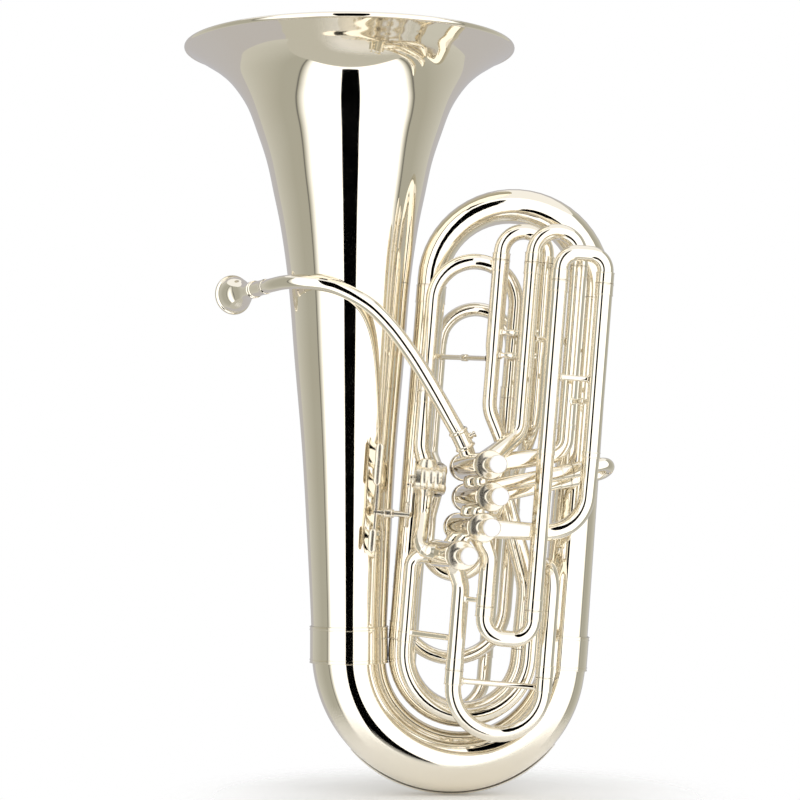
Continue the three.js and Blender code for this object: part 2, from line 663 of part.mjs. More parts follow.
const armU = ROTOR.end - 36.4 - ARM.thick; // the arms' plane: just past the end of the rotor's shaft
const rodU = armU - GAP - ARM.thick; // the rod lies one layer nearer the bell
const armDrop = ARM.reach * cos(PI / 4);
const armTip = P2(ROTOR.y + armDrop, ROTOR.w - armDrop);
const leverTip = P2(armTip.x - ROD_LENGTH, armTip.y);
const hinge = P2(leverTip.x - LEVER.reach * sin(LEVER.swing), leverTip.y - LEVER.reach * cos(LEVER.swing));

const rotorArm = () => flatBar(P2(ROTOR.y, ROTOR.w), armTip, ARM.width, armU, ARM.thick);
const linkRod = () => flatBar(leverTip, armTip, 5, rodU, ARM.thick);

// The lever: a drive arm, the hinge tube that crosses to the bell's side, and an upper and a lower touch.
function fingerLever() {
  const drive = flatBar(hinge, leverTip, 6, armU, ARM.thick);
  const axle = bar(V(armU + ARM.thick, hinge.x, hinge.y), V(LEVER.u - 1, hinge.x, hinge.y), LEVER.hinge, 12);
  const lower = flatBar(hinge, P2(hinge.x - 6, hinge.y - 38), 6, LEVER.u, 3);
  const upper = flatBar(hinge, P2(hinge.x - 4, hinge.y + 68), 6, LEVER.u, 3);
  const touch = (y, w, size) => new THREE.BoxGeometry(9, 2.4, size).translate(LEVER.u + 0.5, y, w);
  return join(drive, axle, lower, upper, touch(hinge.x - 9, hinge.y - 31, 26),
    touch(hinge.x - 6, hinge.y + 52, 46));
}

// A ring that the hinge tube turns in, on a strut from a foot on the inner branch.
function leverBracket() {
  const [low, high] = [-104, -96];
  const hub = pipe(LEVER.hinge + 2.6, LEVER.hinge + 0.5, 0, high - low);
  const ring = latheAt(hub, 12, V(low, hinge.x, hinge.y), V(1, 0, 0));
  const strut = bar(V((low + high) / 2, hinge.x + 4.5, hinge.y + 0.6), V(MAIN.u - 7, -15.2, hinge.y), 2.6);
  const foot = bar(V(MAIN.u - 7, -15, hinge.y - 14), V(MAIN.u - 7, -15, hinge.y + 14), 3, 6);
  const branch = bar(V(MAIN.u, 0, 200), V(MAIN.u, 0, 400), MAIN.rHigh + 0.3, 14);
  return cut(join(ring, strut, foot), branch);
}

piece(tubing, "first_valve_tubes", firstTubes());
piece(tubing, "third_valve_tubes", thirdTubes());
piece(tubing, "third_valve_return", thirdReturn());
piece(tubing, "fourth_valve_inlet", fourthInlet());
piece(tubing, "fourth_valve_return", fourthReturn());
piece(tubing, "fifth_valve_front_tube", fifthFront());
piece(tubing, "fifth_valve_lower_tube", fifthLower());
piece(tubing, "fifth_valve_rear_tube", fifthRear());
piece(tubing, "tuning_slide_riser", tuningRiser());
piece(tubing, "tuning_slide_sleeve", tuningSleeve());
piece(tubing, "rotor_inlet", rotorInlet());
piece(tubing, "rotor_casing", rotorCasing());
piece(tubing, "rotor", rotor(), nickel());
piece(tubing, "rotor_cap", rotorCap(), nickel());
piece(tubing, "rotor_arm", rotorArm(), nickel());
piece(tubing, "link_rod", linkRod(), nickel());
piece(tubing, "finger_lever", fingerLever(), nickel());
piece(tubing, "lever_bracket", leverBracket(), nickel());

// ---- leadpipe and mouthpiece --------------------------------------------------------------
const leaning = (x, y, z) => V(x * cos(LEAN) - z * sin(LEAN), y, x * sin(LEAN) + z * cos(LEAN));
const mouthAxis = V(-0.5, 0.864, -0.03).normalize(); // from the receiver towards the player's lips
const receiverMouth = V(-226, -15, 557.6);
const RECEIVER = { r: 8.6, length: 36 };
const alongMouth = (distance) => receiverMouth.clone().addScaledVector(mouthAxis, distance);

// It leaves the receiver, passes in front of the bell and comes down to the first valve.
const LEADPIPE = [
  [-201, -58.2, 559.1], [-188, -70, 560.6], [-172, -80, 560.6], [-153, -84.5, 558.8], [-134, -85, 555],
  [-113.5, -84, 546.5], [-92.9, -82, 533.5], [-72.3, -80, 513], [-51.1, -78, 485.2], [-30.4, -75, 452.8],
  [-9.8, -69, 417.6], [6.9, -61, 388], [16.5, -57, 361],
];
function leadpipeRoute() {
  const start = alongMouth(-RECEIVER.length - 1);
  const points = [start, ...LEADPIPE.map(([x, y, z]) => V(x, y, z))];
  return smoothRoute(points.map((p) => leaning(p.x, p.y, p.z)), 16);
}
function leadpipe() {
  const route = leadpipeRoute();
  return clearOfValves(tube(route, [[0, 7.6], [route.length, 8.8]], [[0, 6.4], [route.length, 7.8]]));
}

// A clamped collar round the leadpipe's lower end, with the head of its screw.
function leadpipeCollar() {
  const route = leadpipeRoute();
  const { p, t } = route.at(route.length - 31);
  const ring = latheAt([
    [9.6, -9], [11.2, -9], [11.2, -5], [10.6, -4], [10.6, 4], [11.2, 5], [11.2, 9], [9.6, 9], [9.6, -9],
  ], 14, p, t);
  const side = t.clone().cross(V(0, 1, 0)).normalize();
  const screw = bar(p.clone().addScaledVector(side, 10.4), p.clone().addScaledVector(side, 16), 3.4, 8);
  return join(ring, screw);
}

const receiver = latheAt([
  [5.6, -RECEIVER.length], [7.6, -RECEIVER.length], [RECEIVER.r, -RECEIVER.length + 6], [RECEIVER.r, -6],
  [RECEIVER.r + 1, -5], [RECEIVER.r + 1, 0], [6.9, 0], [5.6, -30], [5.6, -RECEIVER.length],
], 16, receiverMouth, mouthAxis);

// Cup, throat and shank, turned in one piece.
const mouthpiece = latheAt([
  [3.4, -24], [4.9, -24], [6.2, 1], [7, 8], [8.6, 18], [12.5, 26], [17.6, 33], [19.6, 41], [20, 44],
  [22.3, 45.5], [22.3, 49], [20, 50.6], [17, 50], [15.8, 47], [15, 40], [11, 30],
  [4, 21], [3.4, 14], [3.4, -24],
], 18, receiverMouth, mouthAxis);

piece(tubing, "leadpipe", leadpipe());
piece(tubing, "leadpipe_collar", leadpipeCollar(), nickel());
piece(tuba, "mouthpiece_receiver", receiver);
piece(tuba, "mouthpiece", mouthpiece);

export default tuba;
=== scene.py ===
"""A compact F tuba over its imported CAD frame: fine silver-plated tubing, valves, slides and bell.

Metres, +Z up, +X to the audience's right, +Y towards the player. The valve tubing leans by LEAN about Y,
so its places are written as (u, y, w): u across the tubing, w along it.
"""
from collections import namedtuple
from math import atan2, cos, pi, radians, sin, sqrt, tan
from types import SimpleNamespace as Sizes

import bmesh
import bpy
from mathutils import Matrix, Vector


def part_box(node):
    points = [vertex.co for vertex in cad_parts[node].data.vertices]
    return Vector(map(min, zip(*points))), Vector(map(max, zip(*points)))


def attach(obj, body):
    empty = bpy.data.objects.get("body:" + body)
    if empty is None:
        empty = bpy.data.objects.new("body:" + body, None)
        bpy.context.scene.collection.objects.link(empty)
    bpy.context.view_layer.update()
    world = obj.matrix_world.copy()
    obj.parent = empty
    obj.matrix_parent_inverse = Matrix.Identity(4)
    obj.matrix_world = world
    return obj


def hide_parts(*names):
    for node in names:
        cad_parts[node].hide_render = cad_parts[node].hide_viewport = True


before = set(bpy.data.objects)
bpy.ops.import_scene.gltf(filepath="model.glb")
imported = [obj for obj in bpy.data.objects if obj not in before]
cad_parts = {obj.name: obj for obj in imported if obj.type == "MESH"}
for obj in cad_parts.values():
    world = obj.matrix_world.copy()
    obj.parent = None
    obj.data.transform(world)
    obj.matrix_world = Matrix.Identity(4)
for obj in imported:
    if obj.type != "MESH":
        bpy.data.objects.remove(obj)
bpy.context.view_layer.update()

# ---- driving dimensions -------------------------------------------------------------------
LEAN = radians(4.75)
TILT = radians(11.5)  # the valve axes turn this far to the right of straight ahead
BELL_X = -0.118
BELL_LOW, BELL_HIGH = (corner.z for corner in map(Vector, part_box("bell")))
RIM_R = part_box("bell")[1].y
BOW = Sizes(z=0.154, radius=0.118, left=0.0415, right=0.0265, tail=0.009)
BRANCH = Sizes(u=0.1052, low=0.163, high=0.56, r_low=0.0265, r_high=0.0229)
MAIN = Sizes(u=-0.0728, low=0.165, high=0.56, r_low=0.0152, r_high=0.0162)
TOP_BOW = Sizes(u=0.0162, w=0.5675, radius=0.089)
INNER_BOW = Sizes(right=0.0615, bottom=0.0882, r=0.014)
GAP = 0.0004
WALL = 0.0008

TUBE_R, TUBE_BORE = 0.0087, 0.0073
SLEEVE_R, SLEEVE_BORE = 0.0093, 0.0086
LEG_R = 0.0081
FERRULE_R = 0.0099
REAR_R, REAR_BORE = 0.0079, 0.0071

VALVES = [(-0.0226, 0.3604), (-0.01765, 0.3272), (-0.0239, 0.2944), (-0.0446, 0.2632)]
VALVE_Y = -0.02
CASING_R, CASING_BORE, CASING_TOP = 0.0143, 0.0133, 0.128
CAP_R, CAP_BORE = 0.0157, 0.0148
BUTTON_R, STEM_R, STEM_TO = 0.0098, 0.0032, 0.156

# The rotary valve lies across the tubing: its closed end is at "end", its cap towards the bell.
ROTOR = Sizes(end=-0.04, u=-0.0615, y=-0.035, w=0.3445, length=0.033, r=0.0163, bore=0.0149)
PORT = Sizes(u=-0.0485, low=0.335, high=0.354)
ARM_REACH, ARM_THICK, ROD_LENGTH = 0.012, 0.0025, 0.022
LEVER = Sizes(u=-0.115, reach=0.034, swing=radians(14.45), hinge=0.003)

TUBE_SIDES = 32
BEND_STEPS = 14


# ---- meshes -------------------------------------------------------------------------------
def tubing(u, y, w):
    """A place on the leaning tubing, in the row frame."""
    return Vector((u * cos(LEAN) + w * sin(LEAN), y, w * cos(LEAN) - u * sin(LEAN)))


def tubing_way(u, y, w):
    return tubing(u, y, w).normalized()


def corners_at(*places):
    return [tubing(*place) for place in places]


class Shape:
    """The vertices and faces of one piece, gathered from several closed forms."""

    def __init__(self):
        self.verts = []
        self.faces = []

    def loft(self, rings, closed=False):
        """Joins each ring of points to the next. One point is a pole; closed joins the last to the first."""
        firsts = []
        for ring in rings:
            firsts.append((len(self.verts), len(ring)))
            self.verts.extend(ring)
        pairs = list(zip(firsts, firsts[1:] + (firsts[:1] if closed else [])))
        for (a, count_a), (b, count_b) in pairs:
            sides = max(count_a, count_b)
            for k in range(sides):
                n = (k + 1) % sides
                if count_a == 1:
                    self.faces.append((a, b + n, b + k))
                elif count_b == 1:
                    self.faces.append((a + k, a + n, b))
                else:
                    self.faces.append((a + k, a + n, b + n, b + k))
        return self

    def turn(self, profile, origin, axis, sides=48, knurl=(), tooth=0.00022):
        """A closed profile of (radius, height) points turned about an axis, those in knurl cut with teeth."""
        spin = Vector((0, 0, 1)).rotation_difference(axis.normalized())
        rings = []
        for i, (r, h) in enumerate(profile):
            radii = [r, r - tooth] * (sides // 2) if i in knurl else [r] * (sides if r > 1e-7 else 1)
            turns = [(q, 2 * pi * k / sides) for k, q in enumerate(radii)]
            rings.append([origin + spin @ Vector((q * cos(a), q * sin(a), h)) for q, a in turns])
        return self.loft(rings, closed=len(rings[0]) > 1)

    def tube(self, route, outer, inner, sides=TUBE_SIDES):
        """A hollow tube along a route: outer wall one way, inner wall back."""
        return self.loft(wall(route, outer, sides) + wall(route, inner, sides)[::-1], closed=True)

    def bar(self, a, b, r, sides=20, edge=0.0004):
        """A round bar with chamfered ends."""
        length = (b - a).length
        profile = [(0, 0), *both_ends([(r - edge, 0), (r, edge)], 0, length), (0, length)]
        return self.turn(profile, a, b - a, sides)

    def stay(self, a, b, r, foot_a=0.0, foot_b=0.0, collared=True):
        """A brace: a slim bar with a round foot at each end, and a turned collar half-way on a long one."""
        length = (b - a).length
        half = length / 2

        def foot(size):
            return [(size, 0.0), (size * 0.96, 0.0009), (r + (size - r) * 0.3, 0.0019), (r, 0.004)]

        low = foot(foot_a) if foot_a else [(r, 0)]
        high = [(q, length - h) for q, h in reversed(foot(foot_b))] if foot_b else [(r, length)]
        collar = both_ends([(r, 0), (r * 1.32, 0.0006), (r * 1.42, 0.0014)], half - 0.0052, half + 0.0052)
        middle = collar if collared and length > 0.022 else []
        return self.turn([(0, 0)] + low + middle + high + [(0, length)], a, b - a, 24)

    def flat(self, outline, place, low, high, edge=0.0005):
        """A plate with chamfered edges between two depths: place(a, b, depth) sets each outline point."""
        middle = Vector((sum(q[0] for q in outline), sum(q[1] for q in outline))) / len(outline)

        def ring(inset, depth):
            points = []
            for a, b in outline:
                offset = Vector((a, b)) - middle
                inner = middle + offset * max(0.0, 1 - inset / max(offset.length, 1e-6))
                points.append(place(inner.x, inner.y, depth))
            return points

        rings = [[place(middle.x, middle.y, high)], ring(edge, high), ring(0, high - edge),
                 ring(0, low + edge), ring(edge, low), [place(middle.x, middle.y, low)]]
        return self.loft(rings)

    def keep_out(self, origin, axis, length, r):
        """Moves every point that lies inside a round casing straight out to radius r."""
        for i, point in enumerate(self.verts):
            along = (point - origin).dot(axis)
            out = point - origin - axis * along
            if 0 < along < length and out.length < r:
                self.verts[i] = point + out.normalized() * (r - out.length)
        return self

    def keep_in(self, origin, axis, r):
        """Draws every point outside radius r of an axis straight in to it."""
        for i, point in enumerate(self.verts):
            out = point - origin - axis * (point - origin).dot(axis)
            if out.length > r:
                self.verts[i] = point + out.normalized() * (r - out.length)
        return self

    def add(self, other):
        first = len(self.verts)
        self.verts.extend(other.verts)
        self.faces.extend(tuple(first + k for k in face) for face in other.faces)
        return self

    def object(self, name, sharp=32):
        mesh = bpy.data.meshes.new(name)
        mesh.from_pydata([tuple(v) for v in self.verts], [], self.faces)
        mesh.validate()
        face_outwards(mesh)
        mesh.polygons.foreach_set("use_smooth", [True] * len(mesh.polygons))
        mesh.set_sharp_from_angle(angle=radians(sharp))
        return linked(name, mesh)


def linked(name, data):
    made = bpy.data.objects.new(name, data)
    bpy.context.scene.collection.objects.link(made)
    return made


def sheet(name, verts, faces, material):
    """A plain mesh that belongs to the studio, not to the tuba."""
    mesh = bpy.data.meshes.new(name)
    mesh.from_pydata(verts, [], faces)
    mesh.materials.append(material)
    made = linked(name, mesh)
    return made


def both_ends(near, low, high):
    """Points of a profile counted up from its low end, then the same mirrored from its high end."""
    return [(r, low + h) for r, h in near] + [(r, high - h) for r, h in reversed(near)]


def from_wall(r, near, h=0):
    """Points of a profile counted out from radius r and along from height h."""
    return [(r + out, h + along) for out, along in near]


def face_outwards(mesh):
    bm = bmesh.new()
    bm.from_mesh(mesh)
    bmesh.ops.recalc_face_normals(bm, faces=bm.faces)
    bm.to_mesh(mesh)
    bm.free()


# ---- routes -------------------------------------------------------------------------------
class Route:
    """A centre line through corner points, each corner rounded to its bend radius."""

    def __init__(self, corners, bends=0.0):
        self.pieces = []
        self.marks = [0.0]
        self.length = 0.0
        start = corners[0]
        for i in range(1, len(corners) - 1):
            bend = bends[i - 1] if isinstance(bends, (list, tuple)) else bends
            into = (corners[i] - corners[i - 1]).normalized()
            out = (corners[i + 1] - corners[i]).normalized()
            angle = into.angle(out)
            setback = bend * tan(angle / 2)
            self.line(start, corners[i] - into * setback)
            self.arc(corners[i] - into * setback, into, out, bend, angle)
            start = corners[i] + out * setback
        self.line(start, corners[-1])

    def line(self, a, b):
        length = (b - a).length
        if length > 1e-6:
            way = (b - a) / length
            self.add(length, 1, lambda s: (a + way * s, way))

    def arc(self, start, into, out, radius, angle):
        inward = (out - into * cos(angle)).normalized()
        centre = start + inward * radius

        def place(s):
            a = s / radius
            point = centre - inward * radius * cos(a) + into * radius * sin(a)
            return point, into * cos(a) + inward * sin(a)

        self.add(radius * angle, max(2, round(BEND_STEPS * angle / (pi / 2))), place)

    def add(self, length, steps, place):
        self.pieces.append((self.length, length, place))
        self.marks.extend(self.length + length * i / steps for i in range(1, steps + 1))
        self.length += length

    def at(self, s):
        passed = [each for each in self.pieces if s >= each[0] - 1e-9]
        start, length, place = passed[-1] if passed else self.pieces[0]
        return place(min(s - start, length))


class SmoothRoute:
    """A centripetal Catmull-Rom curve through points, walked by its length."""

    def __init__(self, points, rings):
        self.points = smooth(points, 12)
        self.reach = [0.0]
        for a, b in zip(self.points, self.points[1:]):
            self.reach.append(self.reach[-1] + (b - a).length)
        self.length = self.reach[-1]
        self.marks = [self.length * i / rings for i in range(rings + 1)]

    def at(self, s):
        i = max(0, min(len(self.points) - 2, next((k for k, r in enumerate(self.reach) if r > s), 10**6) - 1))
        step = self.points[i + 1] - self.points[i]
        before = self.points[i] - self.points[i - 1] if i else step
        after = self.points[i + 2] - self.points[i + 1] if i + 2 < len(self.points) else step
        share = (s - self.reach[i]) / step.length
        bend = (before.normalized() + step.normalized()).lerp(step.normalized() + after.normalized(), share)
        return self.points[i] + step * share, bend.normalized()


def catmull(points, t):
    """The centripetal Catmull-Rom curve between the second and third of four points."""
    knots = [0.0]
    for a, b in zip(points, points[1:]):
        knots.append(knots[-1] + (b - a).length ** 0.5)
    at = knots[1] + (knots[2] - knots[1]) * t
    blend = lambda a, b, first, last: a.lerp(b, (at - knots[first]) / (knots[last] - knots[first]))
    low, middle, high = (blend(points[i], points[i + 1], i, i + 1) for i in range(3))
    return blend(blend(low, middle, 0, 2), blend(middle, high, 1, 3), 1, 2)


def smooth(points, steps):
    """A smooth curve through points, with a number of steps from each to the next."""
    padded = [points[0] * 2 - points[1], *points, points[-1] * 2 - points[-2]]
    curve = [catmull(padded[i:i + 4], t / steps) for i in range(len(points) - 1) for t in range(steps)]
    return [*curve, points[-1]]


def radius_at(profile, s):
    """Radius at a distance along a route, from (distance, radius) pairs; two at one distance make a step."""
    after = next((i for i, (at, _) in enumerate(profile) if at >= s - 1e-9), None)
    if after is None:
        return profile[-1][1]
    if after == 0:
        return profile[0][1]
    (s0, r0), (s1, r1) = profile[after - 1], profile[after]
    return r1 if s1 - s0 < 1e-9 else r0 + (r1 - r0) * (s - s0) / (s1 - s0)


def wall(route, profile, sides):
    """Rings of points at the route's marks and the profile's own points, carried along without twist."""
    if not isinstance(profile, list):
        profile = [(0.0, profile), (route.length, profile)]
    own = [(s, r) for s, r in profile if -1e-9 <= s <= route.length + 1e-9]
    between = [(s, radius_at(profile, s)) for s in route.marks if all(abs(at - s) > 4e-5 for at, _ in own)]
    across = Vector((0, 1, 0.02))
    rings = []
    for s, r in sorted(own + between, key=lambda pair: pair[0]):
        p, t = route.at(s)
        across = (across - t * across.dot(t)).normalized()
        up = t.cross(across)
        angles = (2 * pi * k / sides for k in range(sides))
        rings.append([p + across * r * cos(a) + up * r * sin(a) for a in angles])
    return rings


def band(start, end, r, proud=0.00045, bead=0.0007, base=None):
    """A soldered ferrule on a tube of radius r: a plain band with a rounded bead at each end."""
    base = r if base is None else base
    top = r + proud
    lip = top + bead * 0.55
    near = [(0, base), (0, top), (bead * 0.3, lip), (bead * 1.3, lip), (bead * 1.8, top)]
    return [(start + s, q) for s, q in near] + [(end - s, q) for s, q in reversed(near)]


def along_tube(length, bands):
    """Ferrules as (start, end) distances, where a negative one is counted back from the far end."""
    return [[s if s >= 0 else length + s for s in pair] for pair in bands]


def with_bands(length, r, bands, r_end=None):
    """The outer profile of a tube of radius r with ferrules at (start, end) distances."""
    r_end = r if r_end is None else r_end
    radius = lambda s: r + (r_end - r) * s / length
    points = [(0.0, r)]
    for start, end in along_tube(length, bands):
        slope = (radius(end) - radius(start)) / (end - start)
        points += [(s, q + slope * (s - start)) for s, q in band(start, end, radius(start))]
    return points + [(length, r_end)]


# ---- pieces -------------------------------------------------------------------------------
def piece(shape, name, body, material, *nodes, slot="silver_plate", sharp=32):
    """Makes a named object from a shape. It rides on a body and stands for the CAD nodes it covers."""
    made = shape.object(name, sharp)
    made.data.materials.append(material)
    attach(made, body)
    if nodes:
        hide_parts(*nodes)


def out_of_casings(shape):
    """Ends a shape inside the walls of the valve casings it meets."""
    for n in range(1, 5):
        shape.keep_out(on_valve(n, VALVE_Y), VALVE_WAY, CASING_TOP, CASING_R - 0.0005)
    return shape


def loop_piece(shape, name, node):
    """A fixed tube among the valves, which stops short of every bore."""
    out_of_casings(shape)
    shape.keep_out(ROTOR_END, TO_BELL, ROTOR.length, ROTOR.bore + 0.0006)
    piece(shape, name, "root", SILVER, node)


# ---- materials ----------------------------------------------------------------------------
class Nodes:
    """A small helper round one material's node tree."""

    def __init__(self, name):
        self.material = bpy.data.materials.new(name)
        self.material.use_nodes = True
        self.tree = self.material.node_tree
        self.shader = self.tree.nodes["Principled BSDF"]
        self.place = self.tree.nodes.new("ShaderNodeTexCoord").outputs["Object"]

    def new(self, kind, **inputs):
        node = self.tree.nodes.new(kind)
        for name, value in inputs.items():
            socket = node.inputs[name.replace("_", " ")]
            if isinstance(value, bpy.types.NodeSocket):
                self.tree.links.new(value, socket)
            else:
                socket.default_value = value
        return node

    def noise(self, scale, detail=3.0, stretch=(1, 1, 1)):
        spread = self.new("ShaderNodeMapping", Vector=self.place, Scale=stretch)
        return self.new("ShaderNodeTexNoise", Vector=spread.outputs[0], Scale=scale,
                        Detail=detail).outputs["Fac"]

    def ramp(self, value, *stops):
        node = self.new("ShaderNodeValToRGB", Fac=value)
        while len(node.color_ramp.elements) < len(stops):
            node.color_ramp.elements.new(0.5)
        for element, (at, colour) in zip(node.color_ramp.elements, stops):
            element.position = at
            element.color = (*colour, 1) if isinstance(colour, tuple) else (colour, colour, colour, 1)
        return node.outputs["Color"]

    def set(self, **values):
        for name, value in values.items():
            self.shader.inputs[name.replace("_", " ")].default_value = value

    def link(self, value, socket):
        self.tree.links.new(value, self.shader.inputs[socket])

    def bump(self, height, distance, strength=1.0):
        node = self.new("ShaderNodeBump", Height=height, Distance=distance, Strength=strength)
        self.link(node.outputs[0], "Normal")


def plated(name, tint, tarnish, polish, haze, wave):
    """Silver plate: a warm tint of tarnish, wiping haze in the polish, and hand-buffed waves."""
    nodes = Nodes(name)
    nodes.set(Metallic=1.0)
    nodes.link(nodes.ramp(nodes.noise(9.0, 4.0), (0.38, tint), (0.72, tarnish)), "Base Color")
    nodes.link(nodes.ramp(nodes.noise(38.0, 6.0), (0.35, polish), (0.8, haze)), "Roughness")
    nodes.bump(nodes.noise(21.0, 2.0), wave)
    return nodes.material


def honed(name, tint, rough, grain):
    """A nickel alloy honed round and round: fine scratches across its length."""
    nodes = Nodes(name)
    nodes.set(Metallic=1.0)
    scratches = nodes.noise(420.0, 2.0, (1, 0.05, 1))
    nodes.link(nodes.ramp(scratches, (0.3, tuple(c * 0.92 for c in tint)), (0.7, tint)), "Base Color")
    nodes.link(nodes.ramp(scratches, (0.3, rough * 0.7), (0.75, rough * 1.4)), "Roughness")
    nodes.bump(scratches, grain, 0.4)
    return nodes.material


def pearl(name):
    """Mother of pearl: clouded bands of white with a faint pink and green play under a clear polish."""
    nodes = Nodes(name)
    clouds = nodes.noise(130.0, 5.0, (1, 1, 2.2))
    stops = [(0.3, (0.91, 0.89, 0.88)), (0.45, (0.97, 0.965, 0.95)), (0.6, (0.95, 0.92, 0.93)),
             (0.75, (0.93, 0.96, 0.95))]
    nodes.link(nodes.ramp(clouds, *stops), "Base Color")
    nodes.link(nodes.ramp(nodes.noise(60.0, 3.0), (0.3, 0.14), (0.8, 0.24)), "Roughness")
    nodes.set(Coat_Weight=0.7, Coat_Roughness=0.04)
    nodes.bump(clouds, 0.00004, 0.5)
    return nodes.material


SILVER = plated("silver_plate", (0.935, 0.88, 0.765), (0.92, 0.855, 0.73), 0.028, 0.06, 0.00003)
TRIM = plated("bright_trim", (0.925, 0.87, 0.76), (0.905, 0.84, 0.72), 0.05, 0.1, 0.00002)
SATIN = plated("satin_trim", (0.87, 0.8, 0.67), (0.84, 0.76, 0.62), 0.2, 0.3, 0.00002)
MONEL = honed("honed_monel", (0.78, 0.76, 0.72), 0.2, 0.00002)
STEEL = honed("spring_wire", (0.55, 0.55, 0.57), 0.3, 0.00003)
PEARL = pearl("mother_of_pearl")


# ---- bell, bows and branches --------------------------------------------------------------
UP = Vector((0, 0, 1))
FLARE = [(0.0416, BELL_LOW), (0.0422, 0.19), (0.046, 0.27), (0.0524, 0.38), (0.061, 0.48), (0.0685, 0.57),
         (0.077, 0.63), (0.0846, 0.667), (0.0925, 0.703), (0.1026, 0.734), (0.1155, 0.767), (0.1335, 0.793),
         (0.149, 0.807), (0.166, 0.818), (0.181, BELL_HIGH - 0.006)]


def smooth_profile(points, steps=8):
    """The points of a profile joined by a smooth curve."""
    curve = smooth([Vector((r, z, 0)) for r, z in points], steps)
    return [(p.x, p.y) for p in curve[:-1]] + [points[-1]]


def bell():
    outside = smooth_profile(FLARE)
    wall_inside = [(r - 0.0009, z + (0.0008 if r > 0.1 else 0)) for r, z in outside][::-1]
    bead = 0.0031
    centre = (RIM_R - bead, BELL_HIGH - bead)
    turns = [radians(a) for a in range(-120, 181, 20)]
    rim = [(centre[0] + bead * cos(a), centre[1] + bead * sin(a)) for a in turns]
    shape = Shape().turn(outside + rim + wall_inside, Vector((BELL_X, 0, 0)), UP, 192)
    piece(shape, "bell_flare", "root", SILVER, "bell")


def ferrule(name, origin, axis, bore, r, low, high, node, sides):
    """A sleeve over a joint, with a pair of fine beads near each end."""
    bead = 0.0044
    outer = []
    for start, end in ((low, low + bead), (high - bead, high)):
        near = [(r, 0), (r + 0.0006, 0.0003), (r + 0.0006, 0.0009), (r + 0.0001, 0.0014)]
        outer += both_ends(near, start, end)
    shape = Shape().turn([(bore, low), *outer, (bore, high)], origin, axis, sides)
    piece(shape, name, "root", SILVER, node)


def bottom_bow():
    lead = BELL_LOW - GAP - BOW.z
    turn = pi - LEAN
    full = lead + BOW.radius * turn - 0.012

    def place(s):
        a = pi + s / BOW.radius
        point = Vector((BOW.radius * cos(a), 0, BOW.z + BOW.radius * sin(a)))
        return point, Vector((-sin(a), 0, cos(a)))

    route = Route([Vector((BELL_X, 0, BELL_LOW - GAP)), Vector((BELL_X, 0, BOW.z))])
    route.add(BOW.radius * turn, 72, place)
    end, way = route.at(route.length)
    route.line(end, end + way * BOW.tail)
    taper = lambda inset: [(0, BOW.left - inset), (full, BOW.right - inset),
                           (route.length, BOW.right - inset)]
    piece(Shape().tube(route, taper(0), taper(0.0009), 96), "bottom_bow_shell", "root", SILVER, "bottom_bow")
    bow_guard(lead, full)


def bow_guard(lead, full):
    """The wear plate under the bow: a band with a raised rib, tapered to a point at each end."""
    first, last, steps = radians(222), radians(318), 60
    half = [(-1, 0), (-0.96, 0.3), (-0.6, 0.42), (-0.36, 0.5), (-0.2, 0.92)]
    section = [*half, (0, 1), *((-y, h) for y, h in reversed(half)), (0, -0.1)]
    rings = []
    for i in range(steps + 1):
        a = first + (last - first) * i / steps
        share = (lead + BOW.radius * (a - pi)) / full
        reach = BOW.radius + BOW.left + (BOW.right - BOW.left) * share
        point = min(1.0, 0.12 + 5 * min(i, steps - i) / steps) ** 0.5
        out = Vector((cos(a), 0, sin(a)))
        middle = Vector((0, 0, BOW.z)) + out * (reach + 0.0003)
        wide, deep = 0.007 * point, 0.0021 * point
        rings.append([middle + Vector((0, wide * y, 0)) + out * deep * h for y, h in section])
    ends = [[sum(ring, Vector()) / len(ring)] for ring in (rings[0], rings[-1])]
    piece(Shape().loft([ends[0], *rings, ends[1]]), "bow_guard_plate", "root", TRIM, "bow_guard",
          slot="trim", sharp=50)


def upright(u, y, low, high):
    return Route(corners_at((u, y, low), (u, y, high)))


def branch(node, size, low, bands, thick, sides):
    """One of the two long tapered tubes between the bows."""
    route = upright(size.u, 0, low, size.high)
    outer = with_bands(route.length, size.r_low, bands, size.r_high)
    inner = [(0, size.r_low - thick), (route.length, size.r_high - thick)]
    piece(Shape().tube(route, outer, inner, sides), f"{node}_tube", "root", SILVER, node)


def top_bow():
    left, right = TOP_BOW.u - TOP_BOW.radius, TOP_BOW.u + TOP_BOW.radius
    top = TOP_BOW.w + TOP_BOW.radius
    low = MAIN.high + GAP
    corners = corners_at((left, 0, low), (left, 0, top), (right, 0, top), (right, 0, low))
    route = Route(corners, TOP_BOW.radius)
    taper = lambda inset: [(0, MAIN.r_high - inset), (route.length, BRANCH.r_high - inset)]
    piece(Shape().tube(route, taper(0), taper(0.0009), 64), "top_bow_tube", "root", SILVER, "top_bow")


def inner_bow():
    right, bottom, r = INNER_BOW.right, INNER_BOW.bottom, INNER_BOW.r
    left, high = MAIN.u, MAIN.low
    corners = corners_at((left, 0, high), (left, 0, bottom), (right, 0, bottom), (right, 0, high))
    route = Route(corners, (right - left) / 2)
    outer = [(0, r + 0.001), (route.length, r - 0.0006)]
    inner = [(0, r + 0.0002), (route.length, r - 0.0014)]
    piece(Shape().tube(route, outer, inner, 48), "inner_bow_tube", "root", SILVER, "inner_bow")


# ---- valves -------------------------------------------------------------------------------
VALVE_WAY = Vector((sin(TILT), -cos(TILT), 0)).normalized()


def on_valve(n, y):
    """The point on a valve's axis at a depth y."""
    u, w = VALVES[n - 1]
    foot = tubing(u, VALVE_Y, w)
    return foot + VALVE_WAY * ((y - VALVE_Y) / VALVE_WAY.y)


def valve_turn(n, profile, sides=64, knurl=()):
    return Shape().turn(profile, on_valve(n, VALVE_Y), VALVE_WAY, sides, knurl)


